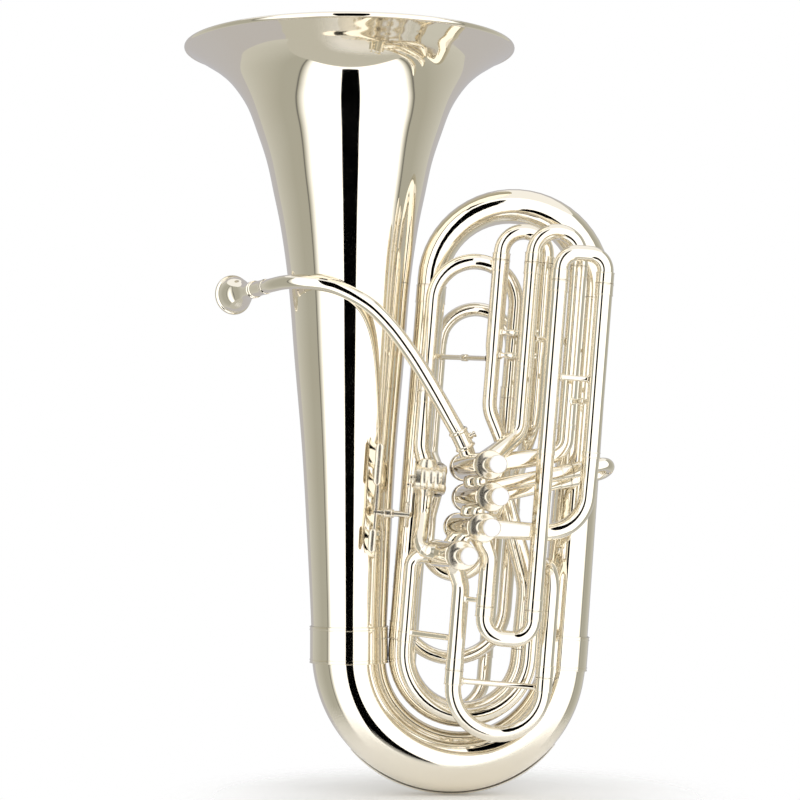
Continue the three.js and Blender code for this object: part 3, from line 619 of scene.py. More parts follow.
def knuckle(shape, a, b, r):
    """A short beaded tube between two casings, its ends cut to sit in their round walls."""
    way = (b - a).normalized()
    side = way.cross(VALVE_WAY).normalized()
    along = side.cross(way)
    length = (b - a).length
    saddle = lambda offset: sqrt((CASING_R - 0.0008) ** 2 - offset ** 2)

    def ring(q, place):
        points = []
        for k in range(40):
            offset, depth = q * sin(2 * pi * k / 40), q * cos(2 * pi * k / 40)
            points.append(a + way * place(offset) + side * offset + along * depth)
        return points

    rings = [[a + way * saddle(0)], ring(r, saddle)]
    for q, step in ((r, -0.0022), (r + 0.0008, -0.0018), (r + 0.0008, 0.0018), (r, 0.0022)):
        rings.append(ring(q, lambda offset: length / 2 + step))
    return shape.loft([*rings, ring(r, lambda offset: length - saddle(offset)), [b - way * saddle(0)]])


def casing_block():
    """Four casings with threaded ends, and the knuckles that join their ports."""
    shape = Shape()
    outside = [(-0.0004, 0.003), (0, 0.0034), (0, 0.0115), (0.0006, 0.0118), (0.0006, 0.0132), (0, 0.0136),
               (0, 0.114), (0.0008, 0.1144), (0.0008, 0.1162), (0, 0.1166), (0, 0.1276),
               (-0.0004, CASING_TOP)]
    profile = [(CASING_BORE, 0.003), *from_wall(CASING_R, outside), (CASING_BORE, CASING_TOP)]
    for n in range(1, 5):
        shape.add(valve_turn(n, profile))
    knuckles = Shape()
    for low in (1, 2, 3):
        for y, r in ((-0.057, 0.008), (-0.099, 0.0072)):
            knuckle(knuckles, on_valve(low, y), on_valve(low + 1, y), r)
    shape.add(out_of_casings(knuckles))
    piece(shape, "casing_block", "root", SILVER, "valve_block")


def valve_caps(n):
    bottom = [(0, -0.0024), (0.0016, -0.0023), (0.0028, -0.0017), (0.0033, -0.0009), (0.0042, -0.0006),
              (0.008, -0.0005), (0.0118, 0.0002), (0.0139, 0.0012), (0.0152, 0.0023), (CAP_R, 0.0034),
              (CAP_R, 0.0072), (CAP_R - 0.0004, 0.0076), (CAP_R - 0.0004, 0.009), (CAP_BORE, 0.009),
              (CAP_BORE, 0.0027), (0, 0.0027)]
    shape = valve_turn(n, bottom, 120, (9, 10))
    piece(shape, f"bottom_cap_{n}_turned", "root", TRIM, f"bottom_cap_{n}", slot="trim", sharp=28)
    hole = STEM_R + 0.0006
    top = [(hole, 0.1285), (CAP_BORE, 0.1285), (CAP_BORE, 0.121), (CAP_R - 0.0003, 0.121),
           (CAP_R - 0.0003, 0.1222), (CAP_R, 0.1225), (CAP_R, 0.1272), (CAP_R - 0.0004, 0.1277),
           (CAP_R - 0.0004, 0.1288), (CAP_R - 0.001, 0.1298), (CAP_R - 0.0025, 0.1305), (0.0108, 0.1312),
           (0.0082, 0.132), (0.0074, 0.1327), (0.0071, 0.1338), (0.0066, 0.1345), (hole, 0.1345)]
    shape = valve_turn(n, top, 120, (5, 6))
    piece(shape, f"top_cap_{n}_turned", "root", SATIN, f"top_cap_{n}", slot="trim", sharp=28)


def piston_parts(n):
    body = f"valve_{n}"
    r = 0.0129
    profile = [(0, 0.03), (r - 0.0005, 0.03), (r, 0.0305)]
    for groove in (0.038, 0.104):
        profile += [(r, groove), (r - 0.0004, groove + 0.0003), (r - 0.0004, groove + 0.0012),
                    (r, groove + 0.0015)]
    profile += [(r, 0.1115), (r - 0.0005, 0.112), (r - 0.002, 0.112), (r - 0.002, 0.098), (0, 0.098)]
    shape = valve_turn(n, profile)
    across = UP.cross(VALVE_WAY).normalized()
    for y in (-0.064, -0.084):
        for side in (1, -1):
            mouth = on_valve(n, y) + across * side * (r - 0.0018)
            shape.turn([(0.0063, 0), (0.0068, 0.0019), (0.0063, 0.00195), (0.0058, 0.0002)], mouth,
                       across * side, 32)
    shape.keep_in(on_valve(n, VALVE_Y), VALVE_WAY, r + 0.00008)
    piece(shape, f"piston_{n}_honed", body, MONEL, f"piston_{n}", slot="monel")

    button_low, button_high = STEM_TO + 0.003, STEM_TO + 0.009
    seat = BUTTON_R - 0.0005
    cap = [(0, 0.0984), (STEM_R, 0.0984), (STEM_R, STEM_TO - 0.0012), (STEM_R + 0.0007, STEM_TO - 0.0004),
           (0.006, STEM_TO + 0.0008), (BUTTON_R - 0.0012, STEM_TO + 0.0018),
           *from_wall(BUTTON_R, [(-0.0002, -0.0004), (0, 0.0004)], button_low),
           *from_wall(BUTTON_R, [(0, -0.0009), (-0.0001, -0.0004), (-0.0003, -0.0002)], button_high),
           *from_wall(seat, [(0, -0.0005), (-0.0001, -0.0013)], button_high), (0, button_high - 0.0013)]
    piece(valve_turn(n, cap), f"button_{n}_cap", body, SILVER, f"finger_button_{n}", slot="button")
    low = button_high - 0.0012
    disc = [(0, low), (seat - 0.0003, low), (seat - 0.0002, low + 0.0004), (seat - 0.0009, low + 0.0008),
            (seat - 0.003, low + 0.0011), (0, low + 0.00122)]
    piece(valve_turn(n, disc, 48), f"button_{n}_pearl", body, PEARL, slot="pearl", sharp=50)


def piston_spring(n):
    r, wire, turns, start, end = 0.0095, 0.0007, 3, 0.0036, 0.011
    foot = on_valve(n, VALVE_Y)
    side = UP.cross(VALVE_WAY).normalized()
    other = VALVE_WAY.cross(side)
    steps = turns * 40

    def place(i):
        a = 2 * pi * turns * i / steps
        return foot + VALVE_WAY * (start + (end - start) * i / steps) + side * r * cos(a) + other * r * sin(a)

    rings = []
    for i in range(steps + 1):
        way = (place(i + 1) - place(i - 1)).normalized()
        out = (place(i) - foot - VALVE_WAY * (place(i) - foot).dot(VALVE_WAY)).normalized()
        up = way.cross(out)
        angles = (2 * pi * k / 10 for k in range(10))
        rings.append([place(i) + out * wire * cos(a) + up * wire * sin(a) for a in angles])
    shape = Shape().loft([[place(0)], *rings, [place(steps)]])
    piece(shape, f"piston_spring_{n}_wire", "root", STEEL, f"piston_spring_{n}", slot="spring_steel",
          sharp=60)


# ---- slides -------------------------------------------------------------------------------
# Each slide: its legs at u left and right and depth y, its sleeves' mouths at w mouth, its crown at w reach,
# way 1 where it pulls up and -1 where it pulls down, its bend radius "flat", and the lengths of its legs
# and of the ferrule "ring" on each.
Slide = namedtuple("Slide", "left right y mouth reach way flat legs ring")
SLIDES = {
    "tuning_slide": Slide(-0.0697, 0.0217, -0.03, 0.44, 0.5877, 1, 0.0457, 0.05, 0.012),
    "first_valve_slide": Slide(0.035, 0.0845, -0.07, 0.587, 0.623, 1, 0.0247, 0.07, 0.0108),
    "fifth_valve_slide": Slide(0.0005, 0.049, -0.05, 0.589, 0.6225, 1, 0.0242, 0.07, 0.0075),
    "third_valve_upper_slide": Slide(0.0625, 0.1105, -0.11, 0.566, 0.597, 1, 0.018, 0.07, 0.012),
    "third_valve_lower_slide": Slide(0.011, 0.0625, -0.11, 0.213, 0.181, -1, 0.021, 0.03, 0.0105),
    "fourth_valve_slide": Slide(-0.0152, 0.0812, -0.085, 0.142, 0.0778, -1, 0.0482, 0.06, 0.0155),
}


def crook_tube(shape, route, legs, r, ring_r, ring_length, leg_r, bore):
    """A slide's moving bow: thin legs, then a beaded ferrule, then the bow itself."""
    edge = legs + GAP
    ferrule_band = band(edge, edge + ring_length, r, ring_r - r - 0.0002)
    half = [(0.0, leg_r - 0.0003), (0.0004, leg_r), (edge, leg_r), *ferrule_band[1:]]
    mirrored = [(route.length - s, q) for s, q in half][::-1]
    return shape.tube(route, half + mirrored, bore)


def crook(name):
    size = SLIDES[name]
    left, right, y, reach = size.left, size.right, size.y, size.reach
    tip = size.mouth - size.way * size.legs
    corners = corners_at((left, y, tip), (left, y, reach), (right, y, reach), (right, y, tip))
    route = Route(corners, size.flat)
    return crook_tube(Shape(), route, size.legs, TUBE_R, FERRULE_R, size.ring, LEG_R, TUBE_BORE)


def slides():
    for name in SLIDES:
        shape = crook(name)
        if name == "fourth_valve_slide":
            size = SLIDES[name]
            a, b = (tubing(u, size.y, 0.131) for u in (size.left + TUBE_R, size.right - TUBE_R))
            shape.stay(a, b, 0.003, 0.0048, 0.0048, collared=False)
        piece(shape, f"{name}_crook", name, SILVER, name)


SECOND = Sizes(rise=radians(16), start=-0.006, w=0.3313, y=-0.083, spread=0.0095, drop=0.005, mouth=0.106,
               reach=0.149, legs=0.06)


def second_leg(side, distance):
    """A point along one of the second valve's two legs, which run square to that valve's axis."""
    level = cos(SECOND.rise) * distance
    y = SECOND.y + side * SECOND.spread + level * sin(TILT)
    w = SECOND.w - side * SECOND.drop + sin(SECOND.rise) * distance
    return tubing(SECOND.start + level * cos(TILT), y, w)


def second_valve():
    start = SECOND.mouth - SECOND.legs
    a, b = second_leg(1, start), second_leg(-1, start)
    route = Route([a, second_leg(1, SECOND.reach), second_leg(-1, SECOND.reach), b], (a - b).length / 2)
    shape = crook_tube(Shape(), route, SECOND.legs, 0.0072, 0.0081, 0.008, 0.0063, 0.0056)
    piece(shape, "second_valve_slide_crook", "second_valve_slide", SILVER, "second_valve_slide")
    shape = Shape()
    for side in (1, -1):
        route = Route([second_leg(side, 0.006), second_leg(side, SECOND.mouth)])
        outer = with_bands(route.length, 0.0075, [(route.length - 0.012, route.length)])
        shape.tube(route, outer, 0.0068, 32)
    shape.bar(second_leg(1, 0.08), second_leg(-1, 0.08), 0.0025)
    loop_piece(shape, "second_valve_sleeves", "second_valve_tubes")


# ---- loops --------------------------------------------------------------------------------
def sleeve(shape, route, bands=(), sides=TUBE_SIDES):
    """The fixed tube a slide runs in. Its mouth, where the route starts, has a beaded ferrule."""
    bands = [(0.0001, 0.0125), *bands]
    return shape.tube(route, with_bands(route.length, SLEEVE_R, bands), SLEEVE_BORE, sides)


def into_valve(shape, n, y, start, r=SLEEVE_R, first=0.0085):
    """A collar round a tube where it is brazed to a casing: a short flared foot."""
    middle = on_valve(n, y)
    way = (start - middle).normalized()
    foot = [(0.0013, 0.001), (0.0009, 0.0024), (0.0009, 0.006), (0.0004, 0.0064), (-0.0004, 0.0064)]
    profile = [(r + 0.0014, first), *from_wall(r, foot, CASING_R - 0.0012), (r - 0.0004, first)]
    return shape.turn(profile, middle, way, 40)


def tie(shape, left, right, y, w, r=0.0024, collared=True):
    reach = SLEEVE_R - 0.0006
    return shape.stay(tubing(left + reach, y, w), tubing(right - reach, y, w), r, 0.0048, 0.0048, collared)


def fitting(shape, a, b, w, r=0.0026, collared=True):
    """A short brace between the walls of two upright sleeves whose middles are at a and b, each (u, y)."""
    start, end = tubing(*a, w), tubing(*b, w)
    way = (end - start).normalized() * (SLEEVE_R - 0.0006)
    return shape.stay(start + way, end - way, r, 0.0046, 0.0046, collared)


def cut_at_valve(corners, n, y, short=0.008):
    """Corners of a route that runs to a valve's axis, with its last point drawn back inside the casing."""
    end = on_valve(n, y)
    back = (corners[-1] - end).normalized()
    return [*corners, end + back * short]


def valve_leg(shape, n, y, bends, places, bands=()):
    """A sleeve from a slide's mouth into a valve's casing, with the flared foot that holds it there."""
    corners = corners_at(*places)
    sleeve(shape, Route(cut_at_valve(corners, n, y), bends), bands)
    into_valve(shape, n, y, corners[-1])


def first_valve():
    left, right, y, mouth = SLIDES["first_valve_slide"][:4]
    shape = Shape()
    valve_leg(shape, 1, -0.104, 0.022, [(left, y, mouth), (left, y, 0.4)], [(0.108, 0.1145), (0.172, 0.178)])
    valve_leg(shape, 1, -0.076, 0.02, [(right, y, mouth), (right, y, 0.383)], [(0.172, 0.178)])
    tie(shape, left, right, y, 0.505)
    fifth = SLIDES["fifth_valve_slide"]
    for w in (0.512, 0.487):
        fitting(shape, (left, y), (fifth.right, fifth.y), w)
        fitting(shape, (fifth.left, fifth.y), (left, y), w - 0.002)
    loop_piece(shape, "first_valve_loop", "first_valve_tubes")


def third_valve():
    left, right, y, mouth = SLIDES["third_valve_upper_slide"][:4]
    low = SLIDES["third_valve_lower_slide"]
    shape = Shape()
    long = upright(left, y, low.mouth, mouth)
    sleeve(shape, long, [(0.166, 0.172), (-0.0125, -0.0001)])
    places = [(right, y, mouth), (right, y, 0.38), (right, -0.09, 0.297)]
    valve_leg(shape, 3, -0.09, [0.06, 0.044], places, [(0.18, 0.186)])
    tie(shape, left, right, y, 0.463, 0.003, collared=False)
    first = SLIDES["first_valve_slide"]
    fitting(shape, (right, y), (first.right, first.y), 0.44)
    loop_piece(shape, "third_valve_loop", "third_valve_tubes")
    shape = Shape()
    valve_leg(shape, 3, low.y, 0.022, [(low.left, low.y, low.mouth), (low.left, low.y, 0.266)])
    loop_piece(shape, "third_valve_return_tube", "third_valve_return")


def narrowing(shape, route, wide, r, bore, extra=()):
    """A sleeve with a ferrule at its mouth that tapers to a plain tube after a length."""
    outer = [(0.0, SLEEVE_R), *band(0.0001, 0.0125, SLEEVE_R), (wide, SLEEVE_R), (wide + 0.01, r)]
    for start, end in along_tube(route.length, extra):
        outer += band(start, end, r)
    outer.append((route.length, r))
    inner = [(0, SLEEVE_BORE), (wide, SLEEVE_BORE), (wide + 0.01, bore), (route.length, bore)]
    return shape.tube(route, outer, inner)


def fourth_valve():
    left, right, y, mouth = SLIDES["fourth_valve_slide"][:4]
    shape = Shape()
    valve_leg(shape, 4, -0.1, 0.025, [(left, y, mouth), (left, y, 0.232)])
    lower_third = SLIDES["third_valve_lower_slide"]
    fitting(shape, (left, y), (lower_third.left, lower_third.y), 0.219)
    fitting(shape, (-0.0693, -0.035), (left, y), 0.1755, 0.0034, collared=False)
    loop_piece(shape, "fourth_valve_inlet_tube", "fourth_valve_inlet")

    outer, inner, depth, bottom, top = -0.0693, 0.0665, -0.035, 0.0895, 0.261
    front, back = tubing(right, y, top), tubing(inner, depth, top)
    bend = (back - front).length / 2
    low = (inner - outer) / 2
    corners = [tubing(right, y, mouth), front, back, tubing(inner, depth, bottom),
               tubing(outer, depth, bottom), tubing(outer, depth - 0.002, 0.26)]
    route = Route(cut_at_valve(corners, 4, -0.05, 0.0125), [bend, bend, low, low, 0.014])
    shape = Shape()
    bands = [(0.2, 0.209), (-0.112, -0.1)]
    narrowing(shape, route, 0.09, TUBE_R, TUBE_BORE, bands)
    into_valve(shape, 4, -0.05, corners[-1], TUBE_R, 0.0125)
    loop_piece(shape, "fourth_valve_bow", "fourth_valve_return")


def port_y(w):
    """How far forward a rear tube reaches: just inside the rotary valve's wall at a height w."""
    return ROTOR.y + sqrt(ROTOR.r ** 2 - (w - ROTOR.w) ** 2) - 0.0006


def fifth_front():
    left, _, y, mouth = SLIDES["fifth_valve_slide"][:4]
    inner, outer, depth, bottom = 0.01, -0.054, 0.014, 0.241
    low = (inner - outer) / 2
    corners = corners_at((left, y, mouth), (left, y, 0.425), (0.018, y, 0.39), (0.018, y, 0.322),
                         (inner, depth, 0.283), (inner, depth, bottom), (outer, depth, bottom),
                         (outer, depth, 0.305), (PORT.u, 0.006, PORT.low),
                         (PORT.u, port_y(PORT.low), PORT.low))
    route = Route(corners, [0.04, 0.04, 0.03, 0.026, low, low, 0.02, 0.012])
    shape = narrowing(Shape(), route, 0.095, REAR_R, REAR_BORE, [(0.4, 0.409)])
    loop_piece(shape, "fifth_valve_front_loop", "fifth_valve_front_tube")


def fifth_lower():
    _, right, y, mouth = SLIDES["fifth_valve_slide"][:4]
    inner, outer, depth, bottom = 0.0385, -0.08, 0.024, 0.1477
    low = (inner - outer) / 2
    corners = corners_at((right, y, mouth), (right + 0.001, y, 0.412), (inner, depth, 0.352),
                         (inner, depth, bottom), (outer, depth, bottom), (outer, depth, 0.235))
    route = Route(corners, [0.04, 0.04, low, low])
    bands = [(0.3, 0.309), (-0.014, -0.0002)]
    shape = narrowing(Shape(), route, 0.095, REAR_R, REAR_BORE, bands)
    piece(shape, "fifth_valve_lower_loop", "root", SILVER, "fifth_valve_lower_tube")


def fifth_rear():
    depth, left, right, far_left = 0.042, -0.058, 0.024, -0.063
    low, top = 0.0863, 0.5416
    start_u, start_y = -0.08, 0.024
    bend = Vector((far_left - start_u, depth - start_y)).length / 2
    low_bend = (right - 0.002 - far_left) / 2
    top_bend = (right - left) / 2
    corners = corners_at((start_u, start_y, 0.235 + GAP), (start_u, start_y, 0.262),
                         (far_left, depth, 0.262), (far_left, depth, low), (right - 0.002, depth, low),
                         (right, depth, top), (left, depth, top), (left, depth, 0.374),
                         (PORT.u, 0.02, PORT.high), (PORT.u, port_y(PORT.high), PORT.high))
    bends = [bend, bend, low_bend, low_bend - 0.0006, top_bend - 0.0006, top_bend, 0.018, 0.014]
    route = Route(corners, bends)
    bands = [(0.0002, 0.009), (0.33, 0.342), (-0.21, -0.198)]
    shape = Shape().tube(route, with_bands(route.length, REAR_R, bands), REAR_BORE)
    a, b = tubing(left + 0.0038, depth - 0.0064, 0.484), tubing(-0.0047, -0.0413, 0.481)
    shape.stay(a, b, 0.0028, 0.0044, 0.0044)
    loop_piece(shape, "fifth_valve_rear_loop", "fifth_valve_rear_tube")


def tuning_riser():
    _, right, y, mouth = SLIDES["tuning_slide"][:4]
    end_u = INNER_BOW.right
    corners = corners_at((right, y, mouth), (right, y, 0.345), (end_u, 0, 0.235), (end_u, 0, MAIN.low + GAP))
    route = Route(corners, 0.06)
    start, end_r = 0.09, INNER_BOW.r - 0.0006
    grow = lambda s: SLEEVE_R + (end_r - SLEEVE_R) * (s - start) / (route.length - start)
    last = route.length - 0.0002
    outer = [(0.0, SLEEVE_R), *band(0.0001, 0.0125, SLEEVE_R), (start, SLEEVE_R)]
    outer += band(last - 0.016, last, grow(last - 0.008)) + [(route.length, end_r)]
    inner = [(0, SLEEVE_BORE), (start, SLEEVE_BORE), (route.length, end_r - WALL)]
    piece(Shape().tube(route, outer, inner), "tuning_slide_riser_tube", "root", SILVER, "tuning_slide_riser")


# ---- rotary valve and lever ---------------------------------------------------------------
ROTOR_END = tubing(ROTOR.end, ROTOR.y, ROTOR.w)
ROTOR_MIDDLE = tubing(ROTOR.u, ROTOR.y, ROTOR.w)
TO_BELL = tubing_way(-1, 0, 0)
ALONG = tubing_way(0, 0, 1)
BACK = Vector((0, 1, 0))
ARM_U = ROTOR.end - 0.0364 - ARM_THICK
ROD_U = ARM_U - GAP - ARM_THICK
ARM_DROP = ARM_REACH * cos(pi / 4)
ARM_TIP = (ROTOR.y + ARM_DROP, ROTOR.w - ARM_DROP)
LEVER_TIP = (ARM_TIP[0] - ROD_LENGTH, ARM_TIP[1])
HINGE = (LEVER_TIP[0] - LEVER.reach * sin(LEVER.swing),
         LEVER_TIP[1] - LEVER.reach * cos(LEVER.swing))
across = lambda y, w, u: tubing(u, y, w)  # a plate that faces the bell


def rotor_tubes():
    wall_reach = ROTOR.r - 0.006
    left, _, y, mouth = SLIDES["tuning_slide"][:4]
    corners = [tubing(left, y, mouth), tubing(left, y, 0.378), ROTOR_MIDDLE + ALONG * wall_reach]
    route = Route(corners, 0.03)
    shape = sleeve(Shape(), route, [(-0.017, -0.0095)])
    loop_piece(shape, "tuning_slide_sleeve_tube", "tuning_slide_sleeve")

    r, bore = TUBE_R - 0.0006, TUBE_BORE - 0.0006
    start = on_valve(4, -0.072)
    corner = tubing(-0.0635, -0.062, 0.267)
    first = start + (corner - start).normalized() * 0.008
    corners = [first, corner, tubing(ROTOR.u, -0.037, 0.306), ROTOR_MIDDLE - ALONG * wall_reach]
    route = Route(corners, [0.016, 0.02])
    bands = [(0.0122, 0.0172), (-0.0175, -0.0095)]
    shape = Shape().tube(route, with_bands(route.length, r, bands), bore)
    into_valve(shape, 4, -0.072, corner, r)
    loop_piece(shape, "rotor_inlet_tube", "rotor_inlet")


def socket(shape, middle, way, reach, r):
    """A short flared foot where a tube meets the rotary valve's casing."""
    foot = [(0.0018, -0.006), (0.0016, 0.0012), (0.001, 0.0026), (0.001, 0.0042), (0.0005, 0.0047),
            (-0.0002, 0.0047), (-0.0002, -0.006)]
    return shape.turn(from_wall(r, foot, reach), middle, way, 40)


def rotary_valve():
    r, length, bore = ROTOR.r, ROTOR.length, ROTOR.bore
    crown = [(r - 0.0006 + 0.0006 * sin(pi * i / 6), i / 6) for i in range(7)]
    crowns = [(q, 0.0046 + 0.0074 * (n + share)) for n in range(3) for q, share in crown]
    casing = [(0, 0), (0.0052, 0), (0.0056, 0.0004), (0.0124, 0.0006), (0.013, 0), (r - 0.0012, 0),
              (r, 0.0012), (r, 0.0042), *crowns, (r, length - 0.0055), (r, length - 0.0004),
              (r - 0.0004, length), (bore, length), (bore, 0.002), (0, 0.002)]
    feet = Shape()
    socket(feet, ROTOR_MIDDLE, ALONG, r, SLEEVE_R)
    socket(feet, ROTOR_MIDDLE, -ALONG, r, TUBE_R - 0.0006)
    for w in (PORT.low, PORT.high):
        socket(feet, tubing(PORT.u, port_y(w), w), BACK, 0.001, REAR_R)
    feet.keep_out(ROTOR_END, TO_BELL, length, bore + 0.0006)
    shape = Shape().turn(casing, ROTOR_END, TO_BELL, 96).add(feet)
    piece(shape, "rotor_casing_turned", "root", SATIN, "rotor_casing", sharp=28)

    cap = [(0.0036, 0.0306), (0.0142, 0.0306), (0.0142, 0.0334), (r + 0.0003, 0.0334), (r + 0.0006, 0.0337),
           (r + 0.0006, 0.0347), (r + 0.0001, 0.0351), (0.0128, 0.0352), (0.0122, 0.0347), (0.0064, 0.0347),
           (0.0058, 0.0354), (0.0036, 0.0354)]
    shape = Shape().turn(cap, ROTOR_END, TO_BELL, 144, (4, 5))
    piece(shape, "rotor_cap_turned", "root", SATIN, "rotor_cap", slot="trim", sharp=28)

    core_r = bore - 0.0005
    core = [(0, 0.0026), (core_r - 0.0004, 0.0026), (core_r, 0.003), (core_r, 0.0102), (0.0078, 0.0108),
            (0.0078, 0.0222), (core_r, 0.0228), (core_r, 0.0296), (core_r - 0.0004, 0.03), (0.003, 0.03),
            (0.003, 0.0358), (0.0028, 0.036), (0, 0.036)]
    shape = Shape().turn(core, ROTOR_END, TO_BELL, 64)
    half_turn = [radians(a) for a in range(52, 129, 19)]
    ends = [(cos(a), sin(a)) for a in half_turn] + [(-cos(a), -sin(a)) for a in half_turn]
    web = [(ROTOR.y + 0.0142 * y, ROTOR.w + 0.0142 * w) for y, w in ends]
    shape.flat(web, across, ROTOR.end - 0.0226, ROTOR.end - 0.0104)
    piece(shape, "rotor_core", "rotor", MONEL, "rotor", slot="trim")


def rounded_bar(a, b, width, steps=12):
    """The outline of a flat bar with round ends between two places."""
    along = atan2(b[1] - a[1], b[0] - a[0])
    r = width / 2
    outline = []
    for place, first in ((a, along + pi / 2), (b, along - pi / 2)):
        angles = (first + pi * i / steps for i in range(steps + 1))
        outline += [(place[0] + r * cos(angle), place[1] + r * sin(angle)) for angle in angles]
    return outline


def screw_head(shape, u, place, r, height=0.0011):
    """A round screw head with a recess, on a plate that faces the bell."""
    profile = [(0, 0), (r, 0), (r, height * 0.6), (r * 0.86, height), (r * 0.3, height),
               (r * 0.26, height * 0.7), (0, height * 0.7)]
    return shape.turn(profile, tubing(u, *place), TO_BELL, 28)


def linkage():
    """The rotor's stop arm, and the link rod with a round eye at each end."""
    axis = (ROTOR.y, ROTOR.w)
    shape = Shape().flat(rounded_bar(axis, ARM_TIP, 0.0058), across, ARM_U, ARM_U + ARM_THICK)
    screw_head(shape, ARM_U, axis, 0.0025)
    piece(shape, "rotor_stop_arm", "rotor", TRIM, "rotor_arm", slot="trim")

    middle_u = ROD_U + ARM_THICK / 2
    shape = Shape().bar(tubing(middle_u, *LEVER_TIP), tubing(middle_u, *ARM_TIP), 0.0011, 16)
    eye = both_ends([(0, 0), (0.0022, 0), (0.0025, 0.0003)], 0, 0.0025)
    for place in (LEVER_TIP, ARM_TIP):
        shape.turn(eye, tubing(ROD_U + ARM_THICK, *place), TO_BELL, 28)
    piece(shape, "link_rod_eyes", "link_rod", TRIM, "link_rod", slot="trim")


def touch(shape, y, w, size):
    """A finger touch: a slim plate with round ends, its face crowned from side to side."""
    u, half, back = LEVER.u + 0.0005, size / 2 - 0.0045, y + 0.0012
    rings = [[tubing(u, back, w)]]
    for width, depth in ((0.0088, 0.0), (0.009, 0.0003), (0.009, 0.0006), (0.0084, 0.0013), (0.0072, 0.0018),
                         (0.0052, 0.0022), (0.0026, 0.0024)):
        inset = (0.009 - width) / 2
        outline = rounded_bar((u, w - half - inset * 0.4), (u, w + half + inset * 0.4), width)
        rings.append([tubing(a, back - depth, b) for a, b in outline])
    return shape.loft([*rings, [tubing(u, back - 0.0024, w)]])


def finger_lever():
    """The drive arm, the axle that crosses to the bell's side, and two touches on their arms."""
    y, w = HINGE
    shape = Shape().flat(rounded_bar(HINGE, LEVER_TIP, 0.0056), across, ARM_U, ARM_U + ARM_THICK)
    start, end = tubing(ARM_U + ARM_THICK, y, w), tubing(LEVER.u - 0.001, y, w)
    shape.bar(start, end, LEVER.hinge, 28)
    collar_profile = both_ends([(0.0028, 0), (0.0042, 0), (0.0045, 0.0004)], -0.001, 0.001)
    for u in (-0.0945, -0.1065):
        shape.turn(collar_profile, tubing(u, y, w), TO_BELL, 28)
    for end in ((y - 0.006, w - 0.038), (y - 0.004, w + 0.068)):
        shape.flat(rounded_bar(HINGE, end, 0.0056), across, LEVER.u, LEVER.u + 0.003)
    touch(shape, y - 0.009, w - 0.031, 0.026)
    touch(shape, y - 0.006, w + 0.052, 0.046)
    piece(shape, "finger_lever_arms", "finger_lever", SATIN, "finger_lever", slot="trim")


def lever_bracket():
    """The ring that the axle turns in, on a strut from a foot on the inner branch."""
    y, w = HINGE
    r, bore = LEVER.hinge + 0.0026, LEVER.hinge + 0.0005
    near = [(bore, 0), (r, 0), (r + 0.0001, 0.0005), (r + 0.0001, 0.0014), (r - 0.0006, 0.0018)]
    shape = Shape().turn(both_ends(near, 0, 0.008), tubing(-0.096, y, w), TO_BELL, 40)
    foot_u = MAIN.u - 0.007
    shape.stay(tubing(-0.1, y + 0.0045, w + 0.0006), tubing(foot_u, -0.0152, w), 0.0022, 0.0, 0.0044)
    shape.bar(tubing(foot_u, -0.015, w - 0.014), tubing(foot_u, -0.015, w + 0.014), 0.003, 24, 0.001)
    piece(shape, "lever_bracket_ring", "root", SATIN, "lever_bracket", slot="trim")


# ---- leadpipe and mouthpiece --------------------------------------------------------------
MOUTH_AXIS = Vector((-0.5, 0.864, -0.03)).normalized()
RECEIVER_MOUTH = Vector((-0.226, -0.015, 0.5576))
RECEIVER_LENGTH = 0.036
LEADPIPE = [
    (-0.201, -0.0582, 0.5591), (-0.188, -0.07, 0.5606), (-0.172, -0.08, 0.5606), (-0.153, -0.0845, 0.5588),
    (-0.134, -0.085, 0.555), (-0.1135, -0.084, 0.5465), (-0.0929, -0.082, 0.5335), (-0.0723, -0.08, 0.513),
    (-0.0511, -0.078, 0.4852), (-0.0304, -0.075, 0.4528), (-0.0098, -0.069, 0.4176), (0.0069, -0.061, 0.388),
    (0.0165, -0.057, 0.361),
]


def leadpipe():
    start = RECEIVER_MOUTH - MOUTH_AXIS * (RECEIVER_LENGTH + 0.001)
    end = Vector(LEADPIPE[-1])
    toward = (Vector(LEADPIPE[-2]) - end).normalized()
    points = [start, *(Vector(p) for p in LEADPIPE[:-1]), end + toward * 0.0125]
    route = SmoothRoute(points, 120)
    taper = lambda low, high: [(0, low), (route.length, high)]
    shape = Shape().tube(route, taper(0.0076, 0.0088), taper(0.0064, 0.0078), 40)
    loop_piece(shape, "leadpipe_tube", "leadpipe")
    collar(SmoothRoute([start, *(Vector(p) for p in LEADPIPE)], 120))


def collar(route):
    """The clamped collar over the leadpipe's lower end: two beads, and the screw that closes it."""
    p, t = route.at(route.length - 0.031)
    profile = [(0.009, -0.012), (0.0096, -0.012), (0.0102, -0.0116), (0.0108, -0.0108), (0.0108, -0.0092),
               (0.0102, -0.0084), (0.0098, -0.0078), (0.0098, 0.0064), (0.0103, 0.007), (0.0112, 0.0078),
               (0.0112, 0.0094), (0.0103, 0.0102), (0.0096, 0.0106), (0.009, 0.0106)]
    shape = Shape().turn(profile, p, t, 48)
    side = t.cross(Vector((0, 1, 0))).normalized()
    shape.turn([(0, 0.0086), (0.0036, 0.0086), (0.0036, 0.0118), (0.0022, 0.0122), (0.0022, 0.0132),
                (0.0034, 0.0136), (0.0034, 0.0157), (0.003, 0.0161), (0, 0.0161)], p, side, 28)
    piece(shape, "leadpipe_collar_turned", "root", TRIM, "leadpipe_collar", slot="trim", sharp=28)


